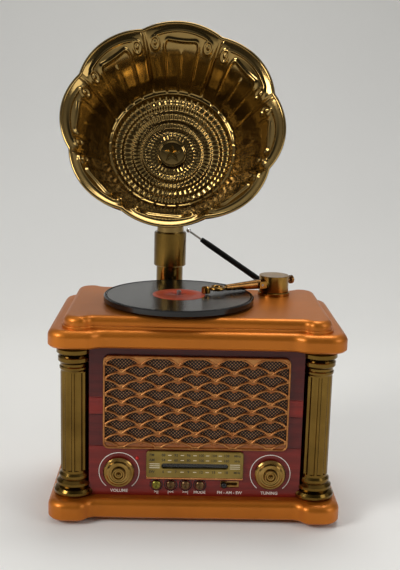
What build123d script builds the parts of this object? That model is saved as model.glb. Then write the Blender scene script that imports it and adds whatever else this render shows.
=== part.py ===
from build123d import *
import os
from math import cos, hypot, radians, sin, sqrt

# Table-top gramophone radio in millimetres.
# X points right, Y points back and Z up, seen from the front.
# The origin is the middle of the cabinet plan, on the surface that the feet rest on.

# Clearances
running_fit = 0.05
loose_fit = 0.1
gap = 0.3

# Feet and wooden slabs
foot_height = 4.0
foot_radius = 9.0
foot_inset = 26.0
base_width = 241.0
base_depth = 144.0
base_thickness = 15.9
base_recess = 8.0
base_edge_radius = 6.0
tier_width = 240.0
tier_depth = 144.0
tier_thickness = 14.5
tier_recess = 5.5
tier_edge_radius = 6.0
tier_chamfer = 1.5
deck_width = 215.6
deck_depth = 130.2
deck_thickness = 10.0
deck_edge_radius = 5.0
deck_bead_height = 2.0
deck_bead_ledge = 1.5
slab_corner_radius = 15.0
deck_corner_radius = 13.0
base_lobe = 24.0
tier_lobe = 31.0
deck_lobe = 13.5
lobe_curve_run = 16.0
deck_curve_run = 12.0

# Cabinet walls and columns
cabinet_height = 129.5
column_x = 100.0
column_y = 46.0
column_radius = 11.3
column_wall_gap = 1.2
panel_setback = 7.0
wall = 5.0
panel_thickness = 6.0
flute_count = 12
flute_cutter_radius = 2.6
flute_depth = 1.1
column_foot_radius = 17.0
column_foot_height = 20.0
column_head_radius = 14.6
column_head_height = 23.0
plank_line_heights = (104.5, 90.0, 63.0)
plank_line_width = 0.7
plank_line_depth = 0.5

# Loudspeakers and grille
grille_width = 152.0
grille_height = 79.2
grille_drop = 48.4
grille_thickness = 2.4
grille_border = 1.5
grille_corner_radius = 5.0
fans_per_row = 5
fan_row_spacing = 6.54
fan_rows = 13
fan_rise = 6.9
fan_rib = 1.6
fan_tip_share = 0.8
fan_floor_drop = 10.4
mesh_thickness = 0.5
speaker_radius = 35.0
speaker_hole_radius = 30.0
speaker_x = 38.0
speaker_depth = 19.0
speaker_flange = 2.0
magnet_radius = 16.0
magnet_thickness = 11.0
cone_wall = 0.8
surround_width = 3.0
basket_lip = 2.5

# Dial
dial_width = 80.4
dial_height = 24.5
dial_centre_height = 47.3
dial_thickness = 2.3
dial_corner_radius = 3.0
dial_slot_width = 55.6
dial_slot_height = 4.9
dial_slot_centre_height = 46.7
window_margin = 3.0
window_thickness = 1.5
pointer_width = 1.2
pointer_thickness = 0.8
pointer_end_margin = 2.8
carrier_width = 6.0
carrier_height = 5.0
carrier_depth = 3.0
rail_radius = 1.0
rail_bracket = 3.0

# Knobs, buttons and switch
knob_x = 62.7
knob_height = 40.4
knob_radius = 12.85
knob_depth = 8.0
knob_stem_radius = 3.0
knob_stem_reach = 5.0
control_body_radius = 8.5
control_depth = 9.0
button_radius = 3.65
button_x = (-31.6, -19.6, -7.4, 4.5)
button_row_height = 29.6
button_stand_out = 2.4
button_travel = 1.2
button_flange = 0.8
button_flange_thickness = 1.0
switch_x = 29.4
switch_row_height = 30.5
switch_slot_width = 15.6
switch_slot_height = 5.8
switch_floor_depth = 1.0
switch_knob_radius = 2.7
switch_stem_radius = 1.1
switch_stem_depth = 4.0
lamp_x = -47.7
lamp_height = 52.4
lamp_radius = 1.5
board_width = 150.0
board_bottom = 22.0
board_top = 60.0
board_thickness = 1.6
contact_size = 6.0
contact_thickness = 3.0

# Back panel
vent_count = 5
vent_width = 26.0
vent_height = 3.0
vent_pitch = 8.0
vent_lowest = 62.0
vent_x = 64.0
socket_x = 62.0
socket_height = 34.0
socket_size = 11.0
socket_depth = 13.0
socket_bore_radius = 3.1
socket_bore_depth = 9.0
socket_flange = 1.5
socket_flange_thickness = 1.0
screw_radius = 1.3
screw_head_radius = 2.7
screw_head_thickness = 1.6
speaker_screw_head_radius = 2.2
screw_length = 9.0
panel_screw_heights = (46.0, 84.7, 122.0)

# Turntable
disc_x = -16.1
disc_y = -0.9
platter_radius = 64.0
platter_lift = 1.2
platter_thickness = 5.3
platter_floor = 3.8
platter_rim_width = 2.4
platter_hub_radius = 7.0
record_thickness = 1.3
spindle_radius = 2.0
spindle_stand_out = 4.0
motor_radius = 17.0
motor_thickness = 16.0
motor_flange_radius = 23.0
motor_neck_radius = 6.0
motor_flange_thickness = 2.0
platter_edge = 0.8

# Tonearm
turret_x = 68.7
turret_y = 37.6
turret_radius = 13.0
turret_height = 14.2
turret_cap_thickness = 1.2
turret_cap_ledge = 0.4
arm_base_radius = 14.2
arm_base_thickness = 3.3
arm_base_sleeve_radius = 6.0
turret_shaft_radius = 4.0
turret_nut_radius = 6.5
turret_nut_thickness = 1.5
arm_direction = 210.0
arm_slope = -0.4
arm_axis_rise = 10.7
arm_pin_reach = 16.3
arm_pin_radius = 1.0
arm_eye_radius = 2.9
arm_root_radius = 4.3
arm_tip_radius = 2.6
arm_bore_radius = 1.7
arm_end_reach = 51.3
arm_plug_length = 5.0
cheek_thickness = 1.2
cheek_reach = 19.0
ring_reach = 60.2
ring_radius = 6.0
ring_wire_radius = 1.6
ring_rise = 10.8
cartridge_reach = 71.2
cartridge_radius = 3.9
cartridge_rise = 7.3
cartridge_stand_out = 1.2
stylus_clearance = 0.5
counterweight_radius = 3.8
counterweight_near = 17.0
counterweight_far = 20.6
counterweight_rise = 12.3
counterweight_stem_radius = 1.8

# Horn
post_x = -25.4
post_y = 80.0
post_radius = 12.3
post_wall = 1.7
collar_radius = 14.9
collar_bottom_rise = 17.1
collar_top_rise = 49.1
post_top_rise = 30.1
elbow_bend_rise = 95.5
elbow_bend_radius = 26.0
horn_tilt = 27.9
horn_yaw = 1.2
horn_turn = -4.8
petal_count = 8
cusp_radius = 89.3
petal_peak_radius = 93.9
bell_depth = 72.0
bell_wall = 2.0
rim_width = 2.8
rim_thickness = 3.4
neck_wall = 2.0
elbow_insert = 6.0
boss_radius = 13.3
boss_thickness = 2.6
boss_step = 0.9
boss_plug_length = 5.0
star_radius = 9.6
star_height = 0.9
bracket_drop = 57.4
bracket_height = 45.0
bracket_socket_radius = 17.0
bracket_floor = 4.0
bracket_plate_width = 46.0
bracket_plate_height = 52.0
bracket_plate_thickness = 4.0
bracket_web_width = 22.0
bracket_screw_x = 18.0
bracket_screw_z = 20.0

# Aerial
aerial_x = 92.0
aerial_drop = 8.0
aerial_pivot_reach = 12.0
aerial_rise = 33.1
aerial_lean = 6.2
aerial_plate_radius = 5.5
aerial_plate_thickness = 2.0
aerial_spigot_radius = 3.0
aerial_spigot_length = 4.5
knuckle_radius = 5.0
knuckle_cheek = 1.4
tongue_thickness = 3.4
tongue_radius = 2.9
pivot_pin_radius = 1.2
knuckle_floor = 1.6
tube_wall_end = 2.0
aerial_tube_radius = 2.8
aerial_tube_length = 92.0
ferrule_length = 8.0
section_radius = 1.9
section_bore = 1.2
section_stand_out = 0.5
rod_radius = 1.1
rod_stand_out = 14.2
tip_radius = 2.3


# Heights of the main faces
base_bottom = foot_height
base_top = base_bottom + base_thickness
cabinet_top = base_top + cabinet_height
tier_top = cabinet_top + tier_thickness
deck_top = tier_top + deck_thickness
grille_centre_height = cabinet_top - grille_drop
arm_axis_height = deck_top + arm_axis_rise
ring_height = deck_top + ring_rise
cartridge_bottom = deck_top + cartridge_rise
counterweight_height = deck_top + counterweight_rise
collar_bottom = deck_top + collar_bottom_rise
collar_top = deck_top + collar_top_rise
post_top = deck_top + post_top_rise
elbow_bend_height = deck_top + elbow_bend_rise
bracket_bottom = cabinet_top - bracket_drop
aerial_height = tier_top - aerial_drop

# Cabinet plan: a box whose four corners are notched for the columns
body_half_width = column_x + panel_setback
body_half_depth = column_y + panel_setback
notch_x = column_x - column_radius - column_wall_gap
notch_y = column_y - column_radius - column_wall_gap
front_face = -body_half_depth
front_inner = front_face + panel_thickness
back_face = body_half_depth
back_inner = back_face - panel_thickness

os.makedirs("parts", exist_ok=True)


def save(piece, label):
    """Name a finished piece and write it."""
    piece.part.label = label
    export_step(piece.part, f"parts/{label}.step")


def lobed_plan(width, depth, corner, recess, lobe, curve_run):
    """Face of a slab whose front and back middles step back between rounded corner lobes."""
    half_width = width / 2
    half_depth = depth / 2
    lobe_end = half_width - lobe
    middle_end = lobe_end - curve_run
    middle_y = half_depth - recess
    turn_x = (lobe_end + middle_end) / 2
    turn_y = half_depth - recess / 2
    with BuildSketch(mode=Mode.PRIVATE) as plan:
        with BuildLine():
            Line((half_width, 0), (half_width, half_depth - corner))
            RadiusArc((half_width, half_depth - corner), (half_width - corner, half_depth), -corner)
            Line((half_width - corner, half_depth), (lobe_end, half_depth))
            TangentArc((lobe_end, half_depth), (turn_x, turn_y), tangent=(-1, 0))
            TangentArc((middle_end, middle_y), (turn_x, turn_y), tangent=(1, 0))
            Line((middle_end, middle_y), (0, middle_y))
            mirror(about=Plane.YZ)
            mirror(about=Plane.XZ)
        make_face()
    return plan.sketch


def side_of(base):
    """Plane whose first axis is the base plane's X and whose second is its normal."""
    return Plane(origin=base.origin, x_dir=base.x_dir, z_dir=-base.y_dir)


def turned_face(base, outline):
    """Face through the base plane's normal, from a list of (radius, height) points."""
    with BuildSketch(side_of(base), mode=Mode.PRIVATE) as section:
        with BuildLine():
            Polyline(*outline, close=True)
        make_face()
    return section.sketch


def turn(base, outline, mode=Mode.ADD):
    """Turn an outline of (radius, height) points a full circle about the base plane's normal."""
    revolve(turned_face(base, outline), axis=Axis(base.origin, base.z_dir), mode=mode)


def rod_outline(radius, low, high, edge=0.0):
    """Outline of a plain round bar with chamfered ends."""
    if edge == 0.0:
        return [(0, low), (radius, low), (radius, high), (0, high)]
    return [
        (0, low),
        (radius - edge, low),
        (radius, low + edge),
        (radius, high - edge),
        (radius - edge, high),
        (0, high),
    ]


def tube_outline(outer, inner, low, high):
    """Outline of a plain round tube."""
    return [(inner, low), (outer, low), (outer, high), (inner, high)]


def from_front(x, z, y=front_face):
    """Plane on the front panel whose normal points out to the front."""
    return Plane(origin=(x, y, z), x_dir=(1, 0, 0), z_dir=(0, -1, 0))


def from_back(x, z, y=back_face):
    """Plane on the back panel whose normal points out to the back."""
    return Plane(origin=(x, y, z), x_dir=(-1, 0, 0), z_dir=(0, 1, 0))


def upright(x, y, z):
    """Level plane at a point."""
    return Plane(origin=(x, y, z), x_dir=(1, 0, 0), z_dir=(0, 0, 1))


# Wooden slabs

with BuildPart() as base_slab:
    with BuildSketch(Plane.XY.offset(base_bottom)):
        add(
            lobed_plan(
                base_width,
                base_depth,
                slab_corner_radius,
                base_recess,
                base_lobe,
                lobe_curve_run,
            )
        )
    extrude(amount=base_thickness)
    fillet(base_slab.edges().group_by(Axis.Z)[-1], base_edge_radius)
    chamfer(base_slab.edges().group_by(Axis.Z)[0], tier_chamfer)
save(base_slab, "base_slab")

foot_x = base_width / 2 - foot_inset
foot_y = base_depth / 2 - foot_inset
with BuildPart() as rubber_feet:
    with BuildSketch():
        with GridLocations(2 * foot_x, 2 * foot_y, 2, 2):
            Circle(foot_radius)
    extrude(amount=foot_height)
    chamfer(rubber_feet.edges().group_by(Axis.Z)[0], foot_height / 5)
save(rubber_feet, "rubber_feet")

# Everything that hangs through the two top slabs
motor_hole_radius = motor_neck_radius + loose_fit
sleeve_hole_radius = arm_base_sleeve_radius + loose_fit
nut_hole_radius = turret_nut_radius + 3 * gap
motor_screw_circle = (motor_radius + motor_flange_radius) / 2
pilot_radius = screw_radius + loose_fit
pilot_depth = screw_length + gap

with BuildPart() as top_slab_lower:
    with BuildSketch(Plane.XY.offset(cabinet_top)):
        add(
            lobed_plan(
                tier_width,
                tier_depth,
                slab_corner_radius,
                tier_recess,
                tier_lobe,
                lobe_curve_run,
            )
        )
    extrude(amount=tier_thickness)
    fillet(top_slab_lower.edges().group_by(Axis.Z)[-1], tier_edge_radius)
    chamfer(top_slab_lower.edges().group_by(Axis.Z)[0], tier_chamfer)
    with Locations((disc_x, disc_y, tier_top)):
        Hole(motor_hole_radius)
    with Locations((turret_x, turret_y, tier_top)):
        Hole(nut_hole_radius)
    with Locations(upright(disc_x, disc_y, cabinet_top)):
        with PolarLocations(motor_screw_circle, 3):
            Cylinder(
                pilot_radius,
                pilot_depth,
                align=(Align.CENTER, Align.CENTER, Align.MIN),
                mode=Mode.SUBTRACT,
            )
save(top_slab_lower, "top_slab_lower")

with BuildPart() as top_slab_upper:
    with BuildSketch(Plane.XY.offset(tier_top)):
        add(
            lobed_plan(
                deck_width + 2 * deck_bead_ledge,
                deck_depth + 2 * deck_bead_ledge,
                deck_corner_radius + deck_bead_ledge,
                tier_recess,
                deck_lobe + deck_bead_ledge,
                deck_curve_run,
            )
        )
    extrude(amount=deck_bead_height)
    fillet(top_slab_upper.edges().group_by(Axis.Z)[-1], deck_bead_height / 3)
    with BuildSketch(Plane.XY.offset(tier_top + deck_bead_height)):
        add(
            lobed_plan(
                deck_width,
                deck_depth,
                deck_corner_radius,
                tier_recess,
                deck_lobe,
                deck_curve_run,
            )
        )
    extrude(amount=deck_thickness - deck_bead_height)
    fillet(top_slab_upper.edges().group_by(Axis.Z)[-1], deck_edge_radius)
    with Locations((disc_x, disc_y, deck_top)):
        Hole(motor_hole_radius)
    with Locations((turret_x, turret_y, deck_top)):
        Hole(sleeve_hole_radius)
save(top_slab_upper, "top_slab_upper")

# Side walls, folded round the column notches

for side, side_name in ((-1, "left"), (1, "right")):
    outer_wall = [
        (side * notch_x, front_inner),
        (side * notch_x, -notch_y),
        (side * body_half_width, -notch_y),
        (side * body_half_width, notch_y),
        (side * notch_x, notch_y),
        (side * notch_x, back_inner),
    ]
    inner_wall = [
        (side * (notch_x - wall), back_inner),
        (side * (notch_x - wall), notch_y - wall),
        (side * (body_half_width - wall), notch_y - wall),
        (side * (body_half_width - wall), wall - notch_y),
        (side * (notch_x - wall), wall - notch_y),
        (side * (notch_x - wall), front_inner),
    ]
    with BuildPart() as side_panel:
        with BuildSketch(Plane.XY.offset(base_top)):
            with BuildLine():
                Polyline(*outer_wall, *inner_wall, close=True)
            make_face()
        extrude(amount=cabinet_height)
        for height in panel_screw_heights:
            with Locations(from_back(side * (notch_x - wall / 2), height, back_inner)):
                Cylinder(
                    pilot_radius,
                    2 * pilot_depth,
                    mode=Mode.SUBTRACT,
                )
    save(side_panel, f"side_panel_{side_name}")

# Front panel with its windows and holes

knob_hole_radius = knob_stem_radius + 6 * loose_fit
button_hole_radius = button_radius + gap
window_width = dial_slot_width + 2 * window_margin
window_height = dial_slot_height + 2 * window_margin
speaker_screw_circle = (speaker_hole_radius + speaker_radius) / 2

with BuildPart() as front_panel:
    with BuildSketch(from_front(0, base_top + cabinet_height / 2)):
        Rectangle(2 * notch_x, cabinet_height)
    extrude(amount=-panel_thickness)
    for line_height in plank_line_heights:
        with Locations((0, front_face, line_height)):
            Box(2 * notch_x, 2 * plank_line_depth, plank_line_width, mode=Mode.SUBTRACT)
    for x in (-speaker_x, speaker_x):
        with Locations(from_front(x, grille_centre_height)):
            Hole(speaker_hole_radius)
    for x in (-knob_x, knob_x):
        with Locations(from_front(x, knob_height)):
            Hole(knob_hole_radius)
    for x in button_x:
        with Locations(from_front(x, button_row_height)):
            Hole(button_hole_radius)
    with Locations(from_front(lamp_x, lamp_height)):
        Hole(lamp_radius + loose_fit)
    with BuildSketch(from_front(0, dial_slot_centre_height)):
        Rectangle(window_width + 2 * loose_fit, window_height + 2 * loose_fit)
    extrude(amount=-panel_thickness, mode=Mode.SUBTRACT)
    with BuildSketch(from_front(switch_x, switch_row_height)):
        Rectangle(switch_slot_width, switch_slot_height)
    extrude(amount=-panel_thickness, mode=Mode.SUBTRACT)
    for x in (-speaker_x, speaker_x):
        with Locations(from_back(x, grille_centre_height, front_inner)):
            with PolarLocations(speaker_screw_circle, 4, start_angle=45):
                Cylinder(pilot_radius, panel_thickness, mode=Mode.SUBTRACT)
save(front_panel, "front_panel")

# Back panel with vents, socket hole and screw holes

with BuildPart() as back_panel:
    with BuildSketch(from_back(0, base_top + cabinet_height / 2)):
        Rectangle(2 * notch_x, cabinet_height)
    extrude(amount=-panel_thickness)
    for x in (-notch_x + wall / 2, notch_x - wall / 2):
        for height in panel_screw_heights:
            with Locations(from_back(x, height)):
                Hole(pilot_radius)
    with BuildSketch(from_back(0, 0)):
        for row in range(vent_count):
            for x in (-vent_x, vent_x):
                with Locations((x, vent_lowest + vent_pitch * row)):
                    SlotOverall(vent_width, vent_height)
    extrude(amount=-panel_thickness, mode=Mode.SUBTRACT)
    with BuildSketch(from_back(socket_x, socket_height)):
        Rectangle(socket_size + 2 * loose_fit, socket_size + 2 * loose_fit)
    extrude(amount=-panel_thickness, mode=Mode.SUBTRACT)
    for x in (post_x - bracket_screw_x, post_x + bracket_screw_x):
        for z in (-bracket_screw_z, bracket_screw_z):
            with Locations(from_back(x, bracket_bottom + bracket_height / 2 + z)):
                Hole(pilot_radius)
save(back_panel, "back_panel")

# Corner columns, cut back where they meet the cabinet walls.
# Ring heights are twentieths of the foot and twenty-thirds of the head.

shaft_bottom = base_top + column_foot_height
shaft_top = cabinet_top - column_head_height
foot_step = column_foot_height / 20
head_step = column_head_height / 23
fluted_outline = [
    (0, base_top),
    (column_foot_radius - foot_step, base_top),
    (column_foot_radius, base_top + 2 * foot_step),
    (column_foot_radius, base_top + 4 * foot_step),
    (column_foot_radius - 1.5 * foot_step, base_top + 6 * foot_step),
    (column_foot_radius - 3.5 * foot_step, base_top + 7 * foot_step),
    (column_foot_radius - 2.2 * foot_step, base_top + 9 * foot_step),
    (column_foot_radius - 2.2 * foot_step, base_top + 11 * foot_step),
    (column_radius + 1.0, base_top + 13 * foot_step),
    (column_radius + 1.6, base_top + 15 * foot_step),
    (column_radius + 1.6, base_top + 17 * foot_step),
    (column_radius, base_top + 19 * foot_step),
    (column_radius, shaft_bottom),
    (column_radius, shaft_top),
    (column_radius + 0.9, shaft_top + 1.5 * head_step),
    (column_radius + 0.9, shaft_top + 3 * head_step),
    (column_radius, shaft_top + 4 * head_step),
    (column_radius + 0.4, shaft_top + 6 * head_step),
    (column_head_radius - 1.2, shaft_top + 8 * head_step),
    (column_head_radius - 1.2, shaft_top + 11 * head_step),
    (column_radius + 0.8, shaft_top + 12.5 * head_step),
    (column_head_radius, shaft_top + 15 * head_step),
    (column_head_radius, shaft_top + 18 * head_step),
    (column_radius + 1.0, shaft_top + 19.5 * head_step),
    (column_head_radius, shaft_top + 21 * head_step),
    (column_head_radius, cabinet_top),
    (0, cabinet_top),
]
flute_ring = column_radius - flute_depth + flute_cutter_radius
for side, side_name in ((-1, "left"), (1, "right")):
    for end, end_name in ((-1, "front"), (1, "back")):
        centre = upright(side * column_x, end * column_y, 0)
        with BuildPart() as column:
            turn(centre, fluted_outline)
            with Locations(centre.offset(shaft_bottom + foot_step)):
                with PolarLocations(flute_ring, flute_count, start_angle=15):
                    Cylinder(
                        flute_cutter_radius,
                        shaft_top - shaft_bottom - 2 * foot_step,
                        align=(Align.CENTER, Align.CENTER, Align.MIN),
                        mode=Mode.SUBTRACT,
                    )
            with Locations((0, 0, base_top)):
                Box(
                    2 * notch_x + 2 * loose_fit,
                    2 * body_half_depth + 2 * loose_fit,
                    cabinet_height,
                    align=(Align.CENTER, Align.CENTER, Align.MIN),
                    mode=Mode.SUBTRACT,
                )
                Box(
                    2 * body_half_width + 2 * loose_fit,
                    2 * notch_y + 2 * loose_fit,
                    cabinet_height,
                    align=(Align.CENTER, Align.CENTER, Align.MIN),
                    mode=Mode.SUBTRACT,
                )
        save(column, f"column_{end_name}_{side_name}")

# Grille: rows of fan-shaped openings in a bordered plate

fan_pitch = grille_width / fans_per_row
fan_radius = ((fan_pitch / 2) ** 2 + fan_rise**2) / (2 * fan_rise)
fan_hole_radius = fan_radius - fan_rib / 2
fan_floor_radius = fan_radius + fan_rib / 2
fan_tip = fan_pitch / 2 * fan_tip_share
next_row_centre = -fan_row_spacing - fan_radius


def floor_arc_height(x):
    """Height of the next row's arc at a distance from the fan's middle."""
    return next_row_centre + sqrt(fan_floor_radius**2 - (fan_pitch / 2 - x) ** 2)


fan_top_at_tip = sqrt(fan_hole_radius**2 - fan_tip**2) - fan_radius
fan_floor_half = fan_pitch / 2 - sqrt(
    fan_floor_radius**2 - (next_row_centre + fan_floor_drop) ** 2
)
fan_middle = (fan_tip + fan_floor_half) / 2
with BuildSketch(mode=Mode.PRIVATE) as fan_hole:
    with BuildLine():
        ThreePointArc((-fan_tip, fan_top_at_tip), (0, -fan_rib / 2), (fan_tip, fan_top_at_tip))
        Line((fan_tip, fan_top_at_tip), (fan_tip, floor_arc_height(fan_tip)))
        ThreePointArc(
            (fan_tip, floor_arc_height(fan_tip)),
            (fan_middle, floor_arc_height(fan_middle)),
            (fan_floor_half, -fan_floor_drop),
        )
        Line((fan_floor_half, -fan_floor_drop), (-fan_floor_half, -fan_floor_drop))
        ThreePointArc(
            (-fan_floor_half, -fan_floor_drop),
            (-fan_middle, floor_arc_height(fan_middle)),
            (-fan_tip, floor_arc_height(fan_tip)),
        )
        Line((-fan_tip, floor_arc_height(fan_tip)), (-fan_tip, fan_top_at_tip))
    make_face()

grille_plane = from_front(0, grille_centre_height)
inside_width = grille_width - 2 * grille_border
inside_height = grille_height - 2 * grille_border
with BuildSketch(mode=Mode.PRIVATE) as fan_field:
    for row in range(fan_rows):
        shift = fan_pitch / 2 * (row % 2)
        row_height = grille_height / 2 - fan_row_spacing * row - fan_rib / 2
        for column_number in range(-2, fans_per_row - 1 + row % 2):
            with Locations((fan_pitch * column_number - shift, row_height)):
                add(fan_hole.sketch)
    Rectangle(inside_width, inside_height, mode=Mode.INTERSECT)
with BuildPart() as grille:
    with BuildSketch(grille_plane):
        RectangleRounded(grille_width, grille_height, grille_corner_radius)
    extrude(amount=grille_thickness)
    with BuildSketch(grille_plane):
        Rectangle(inside_width, inside_height)
    extrude(amount=mesh_thickness, mode=Mode.SUBTRACT)
    with BuildSketch(grille_plane):
        add(fan_field.sketch)
    extrude(amount=grille_thickness, mode=Mode.SUBTRACT)
save(grille, "grille")

with BuildPart() as grille_mesh:
    with BuildSketch(grille_plane):
        Rectangle(inside_width - 2 * loose_fit, inside_height - 2 * loose_fit)
    extrude(amount=mesh_thickness)
save(grille_mesh, "grille_mesh")

# Loudspeakers, fastened behind the front panel

for side, side_name in ((-1, "left"), (1, "right")):
    behind = from_back(side * speaker_x, grille_centre_height, front_inner)
    cone_ring = speaker_hole_radius - gap
    basket_back = speaker_depth
    with BuildPart() as speaker_frame:
        turn(
            behind,
            [
                (cone_ring - basket_lip, 0),
                (speaker_radius, 0),
                (speaker_radius, speaker_flange),
                (cone_ring, speaker_flange),
                (magnet_radius, basket_back),
                (magnet_radius, basket_back + magnet_thickness),
                (0, basket_back + magnet_thickness),
                (0, basket_back - speaker_flange),
                (magnet_radius - speaker_flange, basket_back - speaker_flange),
                (cone_ring - basket_lip, speaker_flange),
            ],
        )
        with Locations(behind):
            with PolarLocations(speaker_screw_circle, 4, start_angle=45):
                Cylinder(pilot_radius, 3 * speaker_flange, mode=Mode.SUBTRACT)
    save(speaker_frame, f"speaker_frame_{side_name}")
    with BuildPart() as speaker_cone:
        turn(
            behind,
            [
                (0, basket_back / 2 - 2 * cone_wall),
                (magnet_radius / 2, basket_back / 2),
                (cone_ring - surround_width - cone_wall / 2, -cone_wall),
                (cone_ring, -cone_wall),
                (cone_ring, 0),
                (cone_ring - surround_width, 0),
                (magnet_radius / 2, basket_back / 2 + cone_wall),
                (0, basket_back / 2 + cone_wall),
            ],
        )
    save(speaker_cone, f"speaker_cone_{side_name}")

# Dial plate, window, pointer and its rail

dial_plane = from_front(0, dial_centre_height)
slot_rise = dial_slot_centre_height - dial_centre_height
with BuildPart() as dial_plate:
    with BuildSketch(dial_plane):
        RectangleRounded(dial_width, dial_height, dial_corner_radius)
    extrude(amount=dial_thickness)
    fillet(dial_plate.edges().group_by(Axis.Y)[0], dial_thickness / 3)
    with BuildSketch(dial_plane):
        with Locations((0, slot_rise)):
            SlotOverall(dial_slot_width, dial_slot_height)
    extrude(amount=dial_thickness, mode=Mode.SUBTRACT)
save(dial_plate, "dial_plate")

with BuildPart() as dial_window:
    with BuildSketch(from_front(0, dial_slot_centre_height)):
        Rectangle(window_width, window_height)
    extrude(amount=-window_thickness)
save(dial_window, "dial_window")

pointer_x = -dial_slot_width / 2 + pointer_end_margin
needle_front = front_face + window_thickness + gap
carrier_front = front_inner + gap
rail_y = carrier_front + carrier_depth / 2
with BuildPart() as dial_pointer:
    with Locations((pointer_x, needle_front, dial_slot_centre_height)):
        Box(
            pointer_width,
            pointer_thickness,
            dial_slot_height + window_margin,
            align=(Align.CENTER, Align.MIN, Align.CENTER),
        )
        Box(
            pointer_width,
            carrier_front - needle_front + pointer_thickness,
            dial_slot_height,
            align=(Align.CENTER, Align.MIN, Align.CENTER),
        )
    with Locations((pointer_x, carrier_front, dial_slot_centre_height)):
        Box(
            carrier_width,
            carrier_depth,
            carrier_height,
            align=(Align.CENTER, Align.MIN, Align.CENTER),
        )
    with Locations(Plane(origin=(pointer_x, rail_y, dial_slot_centre_height), z_dir=(1, 0, 0))):
        Cylinder(rail_radius + running_fit, 2 * carrier_width, mode=Mode.SUBTRACT)
save(dial_pointer, "dial_pointer")

rail_half = dial_slot_width / 2 + carrier_width
with BuildPart() as pointer_rail:
    with Locations(Plane(origin=(0, rail_y, dial_slot_centre_height), z_dir=(1, 0, 0))):
        Cylinder(rail_radius, 2 * rail_half)
    with Locations(
        (-rail_half, front_inner, dial_slot_centre_height),
        (rail_half, front_inner, dial_slot_centre_height),
    ):
        Box(
            rail_bracket,
            carrier_front + carrier_depth - front_inner,
            carrier_height,
            align=(Align.CENTER, Align.MIN, Align.CENTER),
        )
save(pointer_rail, "pointer_rail")

# Rotary knobs and the controls that they turn

knob_outline = [
    (0, 0.4),
    (knob_radius - 0.8, 0.4),
    (knob_radius, 1.2),
    (knob_radius, 2.6),
    (knob_radius - 0.9, 3.5),
    (knob_radius - 2.4, 3.8),
    (knob_radius - 2.6, 4.6),
    (knob_radius - 3.6, 5.2),
    (knob_radius - 5.0, 5.3),
    (knob_radius - 5.2, 4.7),
    (knob_radius - 6.8, 4.7),
    (knob_radius - 7.2, knob_depth - 1.2),
    (knob_radius - 7.8, knob_depth - 0.4),
    (knob_radius - 8.8, knob_depth - 0.4),
    (knob_radius - 9.6, knob_depth - 1.8),
    (knob_radius - 10.8, knob_depth - 1.8),
    (knob_radius - 11.6, knob_depth - 0.6),
    (0, knob_depth),
]
for side, knob_name, control_name in (
    (-1, "volume_knob", "volume_control"),
    (1, "tuning_knob", "tuning_control"),
):
    ahead = from_front(side * knob_x, knob_height)
    stem_end = -panel_thickness - knob_stem_reach
    with BuildPart() as knob:
        turn(ahead, knob_outline)
        turn(ahead, rod_outline(knob_stem_radius, stem_end, 1.0))
    save(knob, knob_name)
    with BuildPart() as control:
        turn(ahead, rod_outline(control_body_radius, -panel_thickness - control_depth, -panel_thickness))
        turn(
            ahead,
            rod_outline(knob_stem_radius + running_fit, stem_end - gap, 0),
            mode=Mode.SUBTRACT,
        )
    save(control, control_name)

# Push buttons, their contacts, the lamp and the board that carries them

board_front = front_inner + control_depth
button_back = -panel_thickness - gap - button_flange_thickness
button_names = ("play_button", "previous_button", "next_button", "mode_button")
for x, button_name in zip(button_x, button_names):
    with BuildPart() as button:
        turn(
            from_front(x, button_row_height),
            [
                (0, button_back),
                (button_radius + button_flange, button_back),
                (button_radius + button_flange, -panel_thickness - gap),
                (button_radius, -panel_thickness - gap),
                (button_radius, button_stand_out - 0.7),
                (button_radius - 0.7, button_stand_out),
                (button_radius - 1.3, button_stand_out),
                (0, button_stand_out - 0.6),
            ],
        )
    save(button, button_name)

contact_tip = board_front - (
    control_depth + panel_thickness + button_back - button_travel - gap
)
with BuildPart() as button_contacts:
    for x in button_x:
        with Locations((x, board_front, button_row_height)):
            Box(
                contact_size,
                contact_thickness,
                contact_size,
                align=(Align.CENTER, Align.MAX, Align.CENTER),
            )
        turn(
            from_back(x, button_row_height, contact_tip),
            rod_outline(contact_size / 4, 0, board_front - contact_tip - contact_thickness / 2),
        )
save(button_contacts, "button_contacts")

switch_travel_space = switch_slot_width - 2 * switch_knob_radius - 2 * gap
switch_knob_x = switch_x - switch_travel_space / 2
switch_front = front_face + switch_floor_depth
with BuildPart() as band_switch_body:
    with Locations((switch_x, switch_front, switch_row_height)):
        Box(
            switch_slot_width - 2 * loose_fit,
            board_front - switch_front,
            switch_slot_height - 2 * loose_fit,
            align=(Align.CENTER, Align.MIN, Align.CENTER),
        )
        Box(
            switch_slot_width - 2 * switch_knob_radius + 2 * switch_stem_radius,
            switch_stem_depth + gap,
            2 * switch_stem_radius + 2 * gap,
            align=(Align.CENTER, Align.MIN, Align.CENTER),
            mode=Mode.SUBTRACT,
        )
save(band_switch_body, "band_switch_body")

switch_knob_y = switch_front - gap - switch_knob_radius
with BuildPart() as band_switch_knob:
    with Locations((switch_knob_x, switch_knob_y, switch_row_height)):
        Sphere(switch_knob_radius)
    turn(
        from_front(switch_knob_x, switch_row_height, switch_front),
        rod_outline(switch_stem_radius, -switch_stem_depth, switch_knob_radius),
    )
save(band_switch_knob, "band_switch_knob")

with BuildPart() as power_lamp:
    with Locations((lamp_x, front_face, lamp_height)):
        Sphere(lamp_radius)
    turn(
        from_front(lamp_x, lamp_height),
        rod_outline(lamp_radius, -panel_thickness - control_depth, 0),
    )
save(power_lamp, "power_lamp")

with BuildPart() as control_board:
    with Locations((0, board_front, board_bottom)):
        Box(
            board_width,
            board_thickness,
            board_top - board_bottom,
            align=(Align.CENTER, Align.MIN, Align.MIN),
        )
save(control_board, "control_board")

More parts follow.
